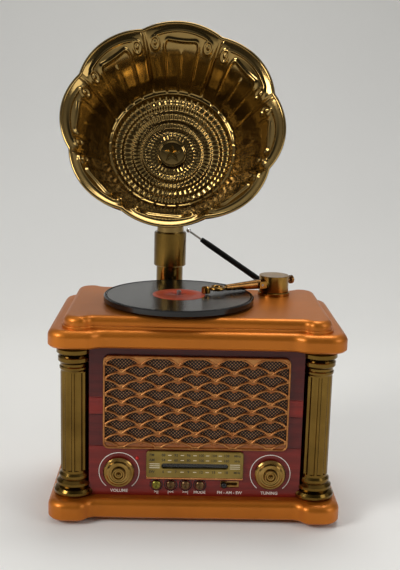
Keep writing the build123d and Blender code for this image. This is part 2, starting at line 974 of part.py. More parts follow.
with BuildPart() as power_socket:
    with BuildSketch(from_back(socket_x, socket_height)):
        Rectangle(socket_size, socket_size)
    extrude(amount=-socket_depth)
    with BuildSketch(from_back(socket_x, socket_height)):
        Rectangle(socket_size + 2 * socket_flange, socket_size + 2 * socket_flange)
    extrude(amount=socket_flange_thickness)
    turn(
        from_back(socket_x, socket_height),
        rod_outline(
            socket_bore_radius,
            socket_flange_thickness - socket_bore_depth,
            2 * socket_flange_thickness,
        ),
        mode=Mode.SUBTRACT,
    )
save(power_socket, "power_socket")

# Turntable: motor with its bearing neck, spindle shaft, platter and record

platter_bottom = deck_top + platter_lift
platter_top = platter_bottom + platter_thickness
record_seat = platter_bottom + platter_floor
record_top = record_seat + record_thickness
hub_bottom = deck_top + gap
neck_top = deck_top - 2 * gap
motor_bottom = cabinet_top - motor_thickness
spindle_plane = upright(disc_x, disc_y, 0)

with BuildPart() as platter_motor:
    turn(
        spindle_plane,
        [
            (0, motor_bottom),
            (motor_radius, motor_bottom),
            (motor_radius, cabinet_top - motor_flange_thickness),
            (motor_flange_radius, cabinet_top - motor_flange_thickness),
            (motor_flange_radius, cabinet_top),
            (motor_neck_radius, cabinet_top),
            (motor_neck_radius, neck_top),
            (0, neck_top),
        ],
    )
    turn(
        spindle_plane,
        rod_outline(spindle_radius + running_fit, motor_bottom + motor_flange_thickness, deck_top),
        mode=Mode.SUBTRACT,
    )
    with Locations(spindle_plane.offset(cabinet_top)):
        with PolarLocations(motor_screw_circle, 3):
            Cylinder(pilot_radius, 3 * motor_flange_thickness, mode=Mode.SUBTRACT)
save(platter_motor, "platter_motor")

with BuildPart() as platter_shaft:
    turn(
        spindle_plane,
        [
            (0, motor_bottom + motor_flange_thickness + gap),
            (spindle_radius, motor_bottom + motor_flange_thickness + gap),
            (spindle_radius, neck_top + gap / 2),
            (motor_neck_radius, neck_top + gap / 2),
            (motor_neck_radius, hub_bottom),
            (spindle_radius, hub_bottom),
            (spindle_radius, record_top + spindle_stand_out - 1.0),
            (spindle_radius - 1.0, record_top + spindle_stand_out),
            (0, record_top + spindle_stand_out),
        ],
    )
save(platter_shaft, "platter_shaft")

recess_radius = platter_radius - platter_rim_width
with BuildPart() as platter:
    turn(
        spindle_plane,
        [
            (spindle_radius + running_fit, hub_bottom),
            (platter_hub_radius, hub_bottom),
            (platter_hub_radius, platter_bottom),
            (platter_radius - platter_edge, platter_bottom),
            (platter_radius, platter_bottom + platter_edge),
            (platter_radius, platter_top - platter_edge),
            (platter_radius - platter_edge, platter_top),
            (recess_radius + platter_edge, platter_top),
            (recess_radius, platter_top - platter_edge),
            (recess_radius, record_seat),
            (spindle_radius + running_fit, record_seat),
        ],
    )
save(platter, "platter")

with BuildPart() as record:
    turn(
        spindle_plane,
        [
            (spindle_radius + running_fit, record_seat),
            (recess_radius - gap, record_seat),
            (recess_radius - gap, record_top - gap),
            (recess_radius - 2 * gap, record_top),
            (spindle_radius + running_fit, record_top),
        ],
    )
save(record, "record")

# Tonearm: fixed base and sleeve, turret with shaft, nut, arm, headshell and counterweight

turret_plane = upright(turret_x, turret_y, 0)
arm_base_top = deck_top + arm_base_thickness
turret_bottom = arm_base_top + gap
turret_top = turret_bottom + turret_height
sleeve_bottom = cabinet_top + turret_nut_thickness + 2 * gap
shaft_end = cabinet_top + gap / 2

with BuildPart() as tonearm_base:
    turn(
        turret_plane,
        [
            (turret_shaft_radius + running_fit, sleeve_bottom),
            (arm_base_sleeve_radius, sleeve_bottom),
            (arm_base_sleeve_radius, deck_top),
            (arm_base_radius, deck_top),
            (arm_base_radius, arm_base_top - 0.6),
            (arm_base_radius - 0.6, arm_base_top),
            (turret_shaft_radius + running_fit, arm_base_top),
        ],
    )
save(tonearm_base, "tonearm_base")

arm_heading = (cos(radians(arm_direction)), sin(radians(arm_direction)), 0)
arm_side = (-arm_heading[1], arm_heading[0], 0)


def along_arm(reach, height, sideways=0.0):
    """Point at a distance from the turret's axis along the arm."""
    return (
        turret_x + reach * arm_heading[0] + sideways * arm_side[0],
        turret_y + reach * arm_heading[1] + sideways * arm_side[1],
        height,
    )


def across_arm(reach, height):
    """Plane whose normal is the arm's lift axis."""
    return Plane(origin=along_arm(reach, height), x_dir=arm_heading, z_dir=arm_side)


cheek_inner = arm_root_radius + gap
cheek_root = turret_radius - 2 * cheek_thickness
cheek_middle = (cheek_root + cheek_reach) / 2
pin_plane = across_arm(arm_pin_reach, arm_axis_height)
with BuildPart() as tonearm_turret:
    turn(
        turret_plane,
        [
            (0, shaft_end),
            (turret_shaft_radius, shaft_end),
            (turret_shaft_radius, turret_bottom),
            (turret_radius, turret_bottom),
            (turret_radius, turret_top - turret_cap_thickness),
            (turret_radius + turret_cap_ledge, turret_top - turret_cap_thickness),
            (turret_radius + turret_cap_ledge, turret_top - 0.4),
            (turret_radius + turret_cap_ledge - 0.4, turret_top),
            (0, turret_top),
        ],
    )
    for sideways in (-1, 1):
        with BuildSketch(pin_plane.offset(sideways * (cheek_inner + cheek_thickness / 2))):
            with Locations((cheek_middle - arm_pin_reach, 0)):
                Rectangle(cheek_reach - cheek_root, 2 * arm_eye_radius)
        extrude(amount=cheek_thickness / 2, both=True)
    with Locations(pin_plane):
        Cylinder(
            arm_pin_radius + running_fit,
            2 * (cheek_inner + 2 * cheek_thickness),
            mode=Mode.SUBTRACT,
        )
save(tonearm_turret, "tonearm_turret")

with BuildPart() as tonearm_nut:
    turn(
        turret_plane,
        tube_outline(
            turret_nut_radius,
            turret_shaft_radius + running_fit,
            shaft_end,
            shaft_end + turret_nut_thickness,
        ),
    )
save(tonearm_nut, "tonearm_nut")

with BuildPart() as tonearm_pin:
    with Locations(pin_plane):
        Cylinder(arm_pin_radius, 2 * (cheek_inner + cheek_thickness) + gap)
save(tonearm_pin, "tonearm_pin")

weight_plane = Plane(
    origin=along_arm(0, counterweight_height),
    x_dir=arm_side,
    z_dir=(-arm_heading[0], -arm_heading[1], 0),
)
with BuildPart() as counterweight:
    turn(
        weight_plane,
        [
            (0, turret_radius + loose_fit),
            (counterweight_stem_radius, turret_radius + loose_fit),
            (counterweight_stem_radius, counterweight_near),
            (counterweight_radius - 0.6, counterweight_near),
            (counterweight_radius, counterweight_near + 0.6),
            (counterweight_radius, counterweight_far - 1.0),
            (counterweight_radius - 1.0, counterweight_far),
            (0, counterweight_far),
        ],
    )
save(counterweight, "counterweight")

slope = radians(arm_slope)
arm_axis = Vector(arm_heading) * cos(slope) + Vector(0, 0, 1) * sin(slope)
arm_plane = Plane(origin=along_arm(arm_pin_reach, arm_axis_height), x_dir=arm_side, z_dir=arm_axis)
arm_length = (arm_end_reach - arm_pin_reach) / cos(slope)
with BuildPart() as tonearm_tube:
    turn(
        arm_plane,
        [(0, 0), (arm_root_radius, 0), (arm_tip_radius, arm_length), (0, arm_length)],
    )
    with Locations(pin_plane):
        Cylinder(arm_eye_radius, 2 * arm_root_radius)
        Cylinder(
            arm_pin_radius + running_fit,
            3 * arm_root_radius,
            mode=Mode.SUBTRACT,
        )
    turn(
        arm_plane,
        rod_outline(arm_bore_radius + running_fit, arm_length - arm_plug_length - gap, arm_length),
        mode=Mode.SUBTRACT,
    )
save(tonearm_tube, "tonearm_tube")

ring_plane = upright(*along_arm(ring_reach, ring_height))
cartridge_plane = upright(*along_arm(cartridge_reach, 0))
plug_reach = (ring_reach - ring_radius - arm_pin_reach) / cos(slope)
with BuildPart() as headshell:
    with Locations(ring_plane):
        Torus(ring_radius, ring_wire_radius)
    turn(arm_plane, rod_outline(arm_bore_radius, arm_length - arm_plug_length, plug_reach))
    turn(
        cartridge_plane,
        [
            (0, record_top + stylus_clearance),
            (0.3, record_top + stylus_clearance),
            (0.8, cartridge_bottom),
            (cartridge_radius - 0.4, cartridge_bottom),
            (cartridge_radius, cartridge_bottom + 0.4),
            (cartridge_radius, ring_height + ring_wire_radius),
            (cartridge_radius / 2, ring_height + ring_wire_radius + cartridge_stand_out),
            (0, ring_height + ring_wire_radius + cartridge_stand_out),
        ],
    )
save(headshell, "headshell")

# Horn: bracket, post, collar, elbow, bell and boss

post_plane = upright(post_x, post_y, 0)
bracket_top = bracket_bottom + bracket_height
bracket_middle = bracket_bottom + bracket_height / 2
plate_back = back_face + bracket_plate_thickness
with BuildPart() as horn_bracket:
    with BuildSketch(from_back(post_x, bracket_middle)):
        RectangleRounded(bracket_plate_width, bracket_plate_height, 4.0)
    extrude(amount=bracket_plate_thickness)
    with Locations((post_x, back_face, bracket_bottom)):
        Box(
            bracket_web_width,
            post_y - back_face,
            bracket_height,
            align=(Align.CENTER, Align.MIN, Align.MIN),
        )
    turn(post_plane, rod_outline(bracket_socket_radius, bracket_bottom, bracket_top, 1.0))
    turn(
        post_plane,
        rod_outline(post_radius + loose_fit, bracket_bottom + bracket_floor, bracket_top + 1.0),
        mode=Mode.SUBTRACT,
    )
    with Locations(from_back(post_x, bracket_middle, plate_back)):
        with GridLocations(2 * bracket_screw_x, 2 * bracket_screw_z, 2, 2):
            Cylinder(pilot_radius, 3 * bracket_plate_thickness, mode=Mode.SUBTRACT)
save(horn_bracket, "horn_bracket")

post_bore = post_radius - post_wall
with BuildPart() as horn_post:
    turn(
        post_plane,
        tube_outline(post_radius, post_bore, bracket_bottom + bracket_floor, post_top),
    )
save(horn_post, "horn_post")

collar_bore = post_radius + running_fit
with BuildPart() as horn_collar:
    turn(
        post_plane,
        [
            (collar_bore, collar_bottom),
            (collar_radius - 0.8, collar_bottom),
            (collar_radius, collar_bottom + 0.8),
            (collar_radius, collar_top - 1.2),
            (collar_radius - 1.2, collar_top),
            (collar_bore, collar_top),
        ],
    )
save(horn_collar, "horn_collar")

tilt = radians(horn_tilt)
yaw = radians(horn_yaw)
horn_axis = Vector(sin(yaw) * cos(tilt), -cos(yaw) * cos(tilt), sin(tilt))
horn_right = Vector(cos(yaw), sin(yaw), 0)
level_ahead = Vector(sin(yaw), -cos(yaw), 0)
bend_start = Vector(post_x, post_y, elbow_bend_height)
bend_turn = radians(90) - tilt
bend_end = (
    bend_start
    + level_ahead * (elbow_bend_radius * (1 - cos(bend_turn)))
    + Vector(0, 0, 1) * (elbow_bend_radius * sin(bend_turn))
)
rim_centre = bend_end + horn_axis * bell_depth
rim_plane = Plane(origin=rim_centre, x_dir=horn_right, z_dir=horn_axis)
bend_middle = (
    bend_start
    + level_ahead * (elbow_bend_radius * (1 - cos(bend_turn / 2)))
    + Vector(0, 0, 1) * (elbow_bend_radius * sin(bend_turn / 2))
)
elbow_low = Vector(post_x, post_y, post_top + gap)
elbow_high = bend_end + horn_axis * elbow_insert
with BuildPart() as horn_elbow:
    with BuildLine() as elbow_path:
        Line(elbow_low, bend_start)
        ThreePointArc(bend_start, bend_middle, bend_end)
        Line(bend_end, elbow_high)
    with BuildSketch(upright(*elbow_low)):
        Circle(post_radius)
        Circle(post_bore, mode=Mode.SUBTRACT)
    sweep()
save(horn_elbow, "horn_elbow")

# Inner face of the bell as (radius, depth behind the rim), from the rim to the throat
bell_curve = [
    (petal_peak_radius + 1.0, -1.3),
    (83.5, 6.0),
    (73.0, 20.5),
    (63.5, 38.0),
    (55.0, 53.5),
    (43.0, 61.5),
    (30.0, 64.8),
    (19.0, 66.0),
]
neck_bore = post_radius + running_fit
boss_seat = bell_depth - elbow_insert
neck_outer = neck_bore + neck_wall
rim_turn = horn_turn + 90 + 180 / petal_count


def bell_back(curve):
    """Points one wall behind the inner face, square to it."""
    backed = []
    for number, (radius, depth) in enumerate(curve):
        before = curve[max(number - 1, 0)]
        after = curve[min(number + 1, len(curve) - 1)]
        run_radius = before[0] - after[0]
        run_depth = after[1] - before[1]
        length = hypot(run_radius, run_depth)
        backed.append(
            (
                radius + bell_wall * run_depth / length,
                -depth - bell_wall * run_radius / length,
            )
        )
    return backed


face_points = [(radius, -depth) for radius, depth in bell_curve]
back_points = bell_back(bell_curve)
petal_points = []
for number in range(petal_count):
    cusp_angle = radians(rim_turn + 360 / petal_count * number)
    peak_angle = radians(rim_turn + 360 / petal_count * (number + 0.5))
    petal_points.append((cusp_radius * cos(cusp_angle), cusp_radius * sin(cusp_angle)))
    petal_points.append((petal_peak_radius * cos(peak_angle), petal_peak_radius * sin(peak_angle)))


def petal_outline():
    """Face bounded by the petals' arcs, in the rim plane."""
    with BuildSketch(mode=Mode.PRIVATE) as outline:
        with BuildLine():
            for number in range(petal_count):
                start = petal_points[2 * number]
                peak = petal_points[2 * number + 1]
                end = petal_points[(2 * number + 2) % len(petal_points)]
                ThreePointArc(start, peak, end)
        make_face()
    return outline.sketch


with BuildPart() as horn_bell:
    with BuildSketch(side_of(rim_plane)):
        with BuildLine():
            Spline(*face_points)
            Line(face_points[-1], (neck_bore, -boss_seat))
            Line((neck_bore, -boss_seat), (neck_bore, -bell_depth))
            Line((neck_bore, -bell_depth), (neck_outer, -bell_depth))
            Line((neck_outer, -bell_depth), (neck_outer, -boss_seat - bell_wall))
            Line((neck_outer, -boss_seat - bell_wall), back_points[-1])
            Spline(*back_points)
            Line(back_points[0], face_points[0])
        make_face()
    revolve(axis=Axis(rim_plane.origin, rim_plane.z_dir))
    with BuildSketch(rim_plane.offset(-2 * bell_depth)):
        add(petal_outline())
    extrude(amount=3 * bell_depth, mode=Mode.INTERSECT)
    with BuildSketch(rim_plane.offset(-rim_thickness / 2)):
        add(petal_outline())
        offset(petal_outline(), -rim_width, kind=Kind.INTERSECTION, mode=Mode.SUBTRACT)
    extrude(amount=rim_thickness)
save(horn_bell, "horn_bell")

boss_plane = rim_plane.offset(-boss_seat)
with BuildPart() as horn_boss:
    turn(
        boss_plane,
        [
            (0, -boss_plug_length),
            (post_bore - loose_fit, -boss_plug_length),
            (post_bore - loose_fit, loose_fit),
            (boss_radius, loose_fit),
            (boss_radius, boss_thickness - boss_step),
            (boss_radius - boss_step, boss_thickness),
            (boss_radius - 2 * boss_step, boss_thickness),
            (boss_radius - 3 * boss_step, boss_thickness - boss_step),
            (0, boss_thickness - boss_step / 2),
        ],
    )
    with BuildSketch(boss_plane.offset(boss_thickness - boss_step)):
        RegularPolygon(star_radius, 5, rotation=90)
        with PolarLocations(star_radius, 5, start_angle=90 + 36):
            RegularPolygon(star_radius * 0.72, 3, rotation=0, mode=Mode.SUBTRACT)
    extrude(amount=star_height)
save(horn_boss, "horn_boss")

# Screws of one size: back panel, horn bracket, loudspeakers and motor

screw_outline = [
    (0, -screw_length),
    (screw_radius, -screw_length),
    (screw_radius, 0),
    (screw_head_radius, 0),
    (screw_head_radius, screw_head_thickness - 0.5),
    (screw_head_radius - 0.7, screw_head_thickness),
    (0, screw_head_thickness),
]
speaker_screw_angles = [radians(45 + 90 * number) for number in range(4)]
screw_planes = []
for x in (-notch_x + wall / 2, notch_x - wall / 2):
    for height in panel_screw_heights:
        screw_planes.append(from_back(x, height))
for x in (post_x - bracket_screw_x, post_x + bracket_screw_x):
    for z in (-bracket_screw_z, bracket_screw_z):
        screw_planes.append(from_back(x, bracket_middle + z, plate_back))
for number in range(3):
    angle = radians(120 * number)
    screw_planes.append(
        Plane(
            origin=(
                disc_x + motor_screw_circle * cos(angle),
                disc_y + motor_screw_circle * sin(angle),
                cabinet_top - motor_flange_thickness,
            ),
            x_dir=(1, 0, 0),
            z_dir=(0, 0, -1),
        )
    )
with BuildPart() as case_screws:
    for screw_plane in screw_planes:
        turn(screw_plane, screw_outline)
save(case_screws, "case_screws")

speaker_screw_length = speaker_flange + panel_thickness / 2
with BuildPart() as speaker_screws:
    for x in (-speaker_x, speaker_x):
        for angle in speaker_screw_angles:
            turn(
                from_back(
                    x + speaker_screw_circle * cos(angle),
                    grille_centre_height + speaker_screw_circle * sin(angle),
                    front_inner + speaker_flange,
                ),
                [
                    (0, -speaker_screw_length),
                    (screw_radius, -speaker_screw_length),
                    (screw_radius, 0),
                    (speaker_screw_head_radius, 0),
                    (speaker_screw_head_radius, screw_head_thickness),
                    (0, screw_head_thickness),
                ],
            )
save(speaker_screws, "speaker_screws")

# Telescopic aerial on the back edge of the lower top slab

aerial_face = tier_depth / 2
aerial_base_plane = from_back(aerial_x, aerial_height, aerial_face)
sleeve_start = aerial_plate_thickness + gap
spigot_end = aerial_plate_thickness + aerial_spigot_length
pivot_y = aerial_face + aerial_pivot_reach
fork_start = spigot_end + gap
with BuildPart() as aerial_base:
    turn(
        aerial_base_plane,
        [
            (0, 0),
            (aerial_plate_radius, 0),
            (aerial_plate_radius, aerial_plate_thickness - 0.5),
            (aerial_plate_radius - 0.5, aerial_plate_thickness),
            (aerial_spigot_radius, aerial_plate_thickness),
            (aerial_spigot_radius, spigot_end),
            (0, spigot_end),
        ],
    )
save(aerial_base, "aerial_base")

rise = radians(aerial_rise)
lean = radians(aerial_lean)
in_plane = Vector(-cos(rise), 0, sin(rise))
backwards = Vector(0, 1, 0)
aerial_axis = in_plane * cos(lean) + backwards * sin(lean)
tilt_axis = in_plane.cross(backwards)
pivot = Vector(aerial_x, pivot_y, aerial_height)
pivot_plane = Plane(origin=pivot, x_dir=aerial_axis, z_dir=tilt_axis)
fork_plane = Plane(origin=pivot, x_dir=backwards, z_dir=tilt_axis)
fork_half = tongue_thickness / 2 + loose_fit
fork_back = aerial_pivot_reach - fork_start
with BuildPart() as aerial_knuckle:
    turn(
        aerial_base_plane,
        [
            (aerial_spigot_radius + running_fit, sleeve_start),
            (knuckle_radius, sleeve_start),
            (knuckle_radius, fork_start + knuckle_floor),
            (0, fork_start + knuckle_floor),
            (0, fork_start),
            (aerial_spigot_radius + running_fit, fork_start),
        ],
    )
    for sideways in (-1, 1):
        with BuildSketch(fork_plane.offset(sideways * (fork_half + knuckle_cheek / 2))):
            with Locations(((knuckle_floor - fork_back) / 2, 0)):
                Rectangle(fork_back - knuckle_floor, 2 * tongue_radius)
            Circle(tongue_radius)
        extrude(amount=knuckle_cheek / 2, both=True)
    with Locations(fork_plane):
        Cylinder(pivot_pin_radius, 2 * fork_half)
save(aerial_knuckle, "aerial_knuckle")

aerial_plane = Plane(origin=pivot, x_dir=tilt_axis, z_dir=aerial_axis)
tube_start = 2 * tongue_radius
tube_end = tube_start + aerial_tube_length
with BuildPart() as aerial_tube:
    with BuildSketch(pivot_plane):
        Circle(tongue_radius)
        with Locations((tube_start / 2, 0)):
            Rectangle(tube_start, 2 * tongue_radius)
    extrude(amount=tongue_thickness / 2, both=True)
    turn(
        aerial_plane,
        [
            (0, tube_start),
            (aerial_tube_radius, tube_start),
            (aerial_tube_radius, tube_end),
            (section_radius + 0.4, tube_end + ferrule_length),
            (0, tube_end + ferrule_length),
        ],
    )
    with Locations(pivot_plane):
        Cylinder(pivot_pin_radius + running_fit, 2 * tongue_thickness, mode=Mode.SUBTRACT)
    turn(
        aerial_plane,
        rod_outline(
            section_radius + running_fit,
            tube_start + tube_wall_end,
            tube_end + ferrule_length + 1.0,
        ),
        mode=Mode.SUBTRACT,
    )
save(aerial_tube, "aerial_tube")

section_start = tube_start + tube_wall_end + gap
section_end = tube_end + ferrule_length + section_stand_out
with BuildPart() as aerial_section:
    turn(aerial_plane, rod_outline(section_radius, section_start, section_end, 0.3))
    turn(
        aerial_plane,
        rod_outline(section_bore, section_start + tube_wall_end, section_end + 1.0),
        mode=Mode.SUBTRACT,
    )
save(aerial_section, "aerial_section")

rod_start = section_start + tube_wall_end + gap
rod_end = section_end + rod_stand_out
with BuildPart() as aerial_rod:
    turn(aerial_plane, rod_outline(rod_radius, rod_start, rod_end))
    with Locations(aerial_plane.offset(rod_end)):
        Sphere(tip_radius)
save(aerial_rod, "aerial_rod")
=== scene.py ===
from math import atan2, cos, exp, hypot, pi, radians, sin, sqrt

import bmesh
import bpy
from mathutils import Matrix, Vector


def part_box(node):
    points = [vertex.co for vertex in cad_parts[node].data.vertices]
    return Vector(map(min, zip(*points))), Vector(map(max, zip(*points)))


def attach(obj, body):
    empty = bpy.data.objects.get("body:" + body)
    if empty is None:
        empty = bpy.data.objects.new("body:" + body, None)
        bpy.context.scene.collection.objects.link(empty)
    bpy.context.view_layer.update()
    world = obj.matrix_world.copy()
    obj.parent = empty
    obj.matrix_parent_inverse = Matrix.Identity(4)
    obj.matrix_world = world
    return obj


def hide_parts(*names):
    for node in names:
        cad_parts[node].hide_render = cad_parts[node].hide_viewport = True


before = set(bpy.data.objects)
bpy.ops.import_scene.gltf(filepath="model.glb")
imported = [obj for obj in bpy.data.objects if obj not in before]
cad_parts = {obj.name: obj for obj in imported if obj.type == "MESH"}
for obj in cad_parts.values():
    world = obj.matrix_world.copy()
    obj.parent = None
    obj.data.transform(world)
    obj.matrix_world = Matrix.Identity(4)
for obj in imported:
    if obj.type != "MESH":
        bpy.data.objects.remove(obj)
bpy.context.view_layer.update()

bl_info = {
    "name": "Horn gramophone radio",
    "version": (1, 0, 0),
    "blender": (4, 5, 0),
    "location": "3D View > Sidebar > Gramophone",
    "description": "Dresses the gramophone's frame with its horn, grille, dial print and finishes",
    "category": "Object",
}

MM = 0.001


def srgb(code):
    """Linear colour of an sRGB hex value."""
    values = [int(code[start:start + 2], 16) / 255 for start in (1, 3, 5)]
    return [v / 12.92 if v <= 0.04045 else ((v + 0.055) / 1.055) ** 2.4 for v in values]


def rgba(code):
    """The same colour with a full alpha."""
    return (*srgb(code), 1.0)


# Sizes and colours

class GramophoneSizes(bpy.types.PropertyGroup):
    """Sizes of the pieces that dress the frame."""

    horn_wall: bpy.props.FloatProperty(
        name="Horn wall", description="Sheet thickness of the bell", default=1.7 * MM,
        min=0.5 * MM, unit="LENGTH", precision=5)
    emboss_depth: bpy.props.FloatProperty(
        name="Emboss depth", description="How far the petal ornament stands out of the sheet",
        default=1.15 * MM, min=0.0, unit="LENGTH", precision=5)
    rim_bead: bpy.props.FloatProperty(
        name="Rim bead", description="Radius of the rolled bead round the petals",
        default=1.5 * MM, min=0.3 * MM, unit="LENGTH", precision=5)
    rib_radius: bpy.props.FloatProperty(
        name="Grille rib", description="Radius of the rounded ribs on the grille",
        default=0.8 * MM, min=0.2 * MM, unit="LENGTH", precision=5)
    label_radius: bpy.props.FloatProperty(
        name="Record label", description="Radius of the paper label", default=22.4 * MM,
        min=5 * MM, unit="LENGTH", precision=5)
    knob_ring_radius: bpy.props.FloatProperty(
        name="Knob ring", description="Radius of the printed ring round each knob",
        default=16.6 * MM, min=10 * MM, unit="LENGTH", precision=5)
    print_depth: bpy.props.FloatProperty(
        name="Print thickness", description="Thickness of the printed marks",
        default=0.06 * MM, min=0.01 * MM, unit="LENGTH", precision=5)


class GramophoneColours(bpy.types.PropertyGroup):
    """Colours that a user would change."""

    gold: bpy.props.FloatVectorProperty(
        name="Gold", description="Plating of the horn and columns", subtype="COLOR",
        default=srgb("#957B4A"), min=0, max=1)
    copper: bpy.props.FloatVectorProperty(
        name="Copper lacquer", description="Lacquer of the three slabs", subtype="COLOR",
        default=srgb("#D27A22"), min=0, max=1)
    wood: bpy.props.FloatVectorProperty(
        name="Mahogany", description="Veneer of the cabinet walls", subtype="COLOR",
        default=srgb("#8A2418"), min=0, max=1)
    label: bpy.props.FloatVectorProperty(
        name="Label", description="Paper label of the record", subtype="COLOR",
        default=srgb("#C4492A"), min=0, max=1)


# Node and mesh tools

def add_node(tree, kind, values=(), links=(), **settings):
    """Add a node, set its fields and inputs, and link what feeds it."""
    node = tree.nodes.new(kind)
    for field, value in settings.items():
        setattr(node, field, value)
    for key, value in values:
        node.inputs[key].default_value = value
    for key, source in links:
        tree.links.new(source, node.inputs[key])
    return node


def new_finish(name, **sockets):
    """Material with a Principled shader whose plain sockets are set directly."""
    material = bpy.data.materials.new(name)
    material.use_nodes = True
    tree = material.node_tree
    tree.nodes.clear()
    shader = add_node(tree, "ShaderNodeBsdfPrincipled")
    for key, value in sockets.items():
        shader.inputs[key.replace("_", " ")].default_value = value
    add_node(tree, "ShaderNodeOutputMaterial", links=[("Surface", shader.outputs[0])])
    return material, tree, shader


def object_coords(tree, stretch=(1, 1, 1), centre=(0, 0, 0)):
    """Object coordinates, moved so that a centre in metres is at zero, then stretched."""
    coords = add_node(tree, "ShaderNodeTexCoord")
    moved = add_node(
        tree, "ShaderNodeMapping", vector_type="POINT",
        values=[("Location", [-c * s for c, s in zip(centre, stretch)]), ("Scale", stretch)],
        links=[("Vector", coords.outputs["Object"])])
    return moved.outputs[0]


def noise(tree, coords, size, detail=3.0):
    """Noise whose patches are about a size in millimetres."""
    node = add_node(
        tree, "ShaderNodeTexNoise",
        values=[("Scale", 1000.0 / size), ("Detail", detail), ("Roughness", 0.55)],
        links=[("Vector", coords)])
    return node.outputs["Fac"]


def stripes(tree, coords, spacing, wave_type="BANDS", direction="X", distortion=0.0):
    """Waves with a spacing in millimetres."""
    field = "bands_direction" if wave_type == "BANDS" else "rings_direction"
    node = add_node(
        tree, "ShaderNodeTexWave", wave_type=wave_type, wave_profile="SIN",
        values=[("Scale", 2 * pi / (20 * spacing * MM)), ("Distortion", distortion),
                ("Detail", 2.0), ("Detail Scale", 1.0)],
        links=[("Vector", coords)], **{field: direction})
    return node.outputs["Fac"]


def blend_colours(tree, factor, low, high):
    """Colour between two colours."""
    node = add_node(
        tree, "ShaderNodeMix", data_type="RGBA", values=[(6, low), (7, high)],
        links=[(0, factor)])
    return node.outputs[2]


def ranged(tree, factor, low, high, start=0.3, end=0.7):
    """Number that runs between two values as a factor runs from start to end."""
    node = add_node(
        tree, "ShaderNodeMapRange",
        values=[("From Min", start), ("From Max", end), ("To Min", low), ("To Max", high)],
        links=[("Value", factor)])
    return node.outputs[0]


def relief(tree, shader, height, depth, strength=1.0):
    """Bump with a depth in millimetres."""
    node = add_node(
        tree, "ShaderNodeBump", values=[("Strength", strength), ("Distance", depth * MM)],
        links=[("Height", height)])
    tree.links.new(node.outputs[0], shader.inputs["Normal"])


def mottled(name, low, high, patch, rough, grain, depth, stretch=(1, 1, 1), **sockets):
    """Finish whose colour and gloss drift in patches, over a fine surface grain."""
    material, tree, shader = new_finish(name, **sockets)
    coords = object_coords(tree, stretch)
    drift = noise(tree, coords, patch)
    tree.links.new(blend_colours(tree, ranged(tree, drift, 0, 1), low, high), shader.inputs["Base Color"])
    tree.links.new(ranged(tree, drift, *rough), shader.inputs["Roughness"])
    relief(tree, shader, noise(tree, coords, grain, 2.0), depth)
    return material


def tinted(colour, factor):
    """A colour with all its parts times a factor, and full alpha."""
    return tuple(min(c * factor, 1.0) for c in colour[:3]) + (1.0,)


def add_piece(name, bm, material, body, smooth=True, replaces=()):
    """Finish a mesh as an object at the origin that rides on a body."""
    mesh = bpy.data.meshes.new(name)
    bm.to_mesh(mesh)
    bm.free()
    mesh.materials.append(material)
    for face in mesh.polygons:
        face.use_smooth = smooth
    piece = bpy.data.objects.new(name, mesh)
    bpy.context.scene.collection.objects.link(piece)
    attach(piece, body)
    for node in replaces:
        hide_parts(node)
    return piece


def turned_mesh(bm, outline, steps, place):
    """Turn a list of (radius, height) points in millimetres into a closed ring or disc."""
    verts = [bm.verts.new((r * MM, 0, h * MM)) for r, h in outline]
    edges = [bm.edges.new((a, b)) for a, b in zip(verts, verts[1:] + verts[:1])]
    bmesh.ops.spin(
        bm, geom=verts + edges, cent=(0, 0, 0), axis=(0, 0, 1), angle=2 * pi,
        steps=steps, use_merge=True)
    bmesh.ops.remove_doubles(bm, verts=bm.verts, dist=1e-6)
    bmesh.ops.recalc_face_normals(bm, faces=bm.faces)
    bmesh.ops.transform(bm, matrix=place, verts=bm.verts)


def slab_at(bm, low, high):
    """Box between two corners in millimetres."""
    middle = [(a + b) / 2 * MM for a, b in zip(low, high)]
    size = [(b - a) * MM for a, b in zip(low, high)]
    bmesh.ops.create_cube(bm, size=1.0, matrix=Matrix.Translation(middle) @ Matrix.Diagonal((*size, 1)))


def facing_front(x, y, z):
    """Matrix that stands a flat shape up to face the front, at a place in millimetres."""
    return Matrix.Translation((x * MM, y * MM, z * MM)) @ Matrix.Rotation(radians(90), 4, "X")


def add_words(bm, words, x, y, z, size, thickness):
    """Add a word as a thin mesh that faces the front."""
    curve = bpy.data.curves.new("words", "FONT")
    curve.body = words
    curve.size = size * MM
    curve.align_x = "CENTER"
    curve.align_y = "CENTER"
    curve.extrude = thickness / 2
    curve.offset = 0.02 * size * MM
    curve.resolution_u = 3
    holder = bpy.data.objects.new("words", curve)
    bpy.context.scene.collection.objects.link(holder)
    bpy.context.view_layer.update()
    mesh = bpy.data.meshes.new_from_object(holder.evaluated_get(bpy.context.evaluated_depsgraph_get()))
    mesh.transform(facing_front(x, y, z))
    bm.from_mesh(mesh)
    bpy.data.objects.remove(holder)
    bpy.data.curves.remove(curve)
    bpy.data.meshes.remove(mesh)


# Heights and places that the frame sets, in millimetres

def node_box(node):
    """Lowest and highest corner of a node in millimetres."""
    low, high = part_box(node)
    return [v / MM for v in low], [v / MM for v in high]


PANEL_FRONT = node_box("front_panel")[0][1]
DIAL_FRONT = node_box("dial_plate")[0][1]
GRILLE_LOW, GRILLE_HIGH = node_box("grille")
RECORD_TOP = node_box("record")[1][2]
DISC_CENTRE = (-16.1, -0.9)
KNOB_PLACES = (-62.6, 62.8)
KNOB_HEIGHT = 40.4
BUTTON_WORDS = ((-31.6, ">||"), (-19.6, "|<<"), (-7.4, ">>|"), (4.5, "MODE"))

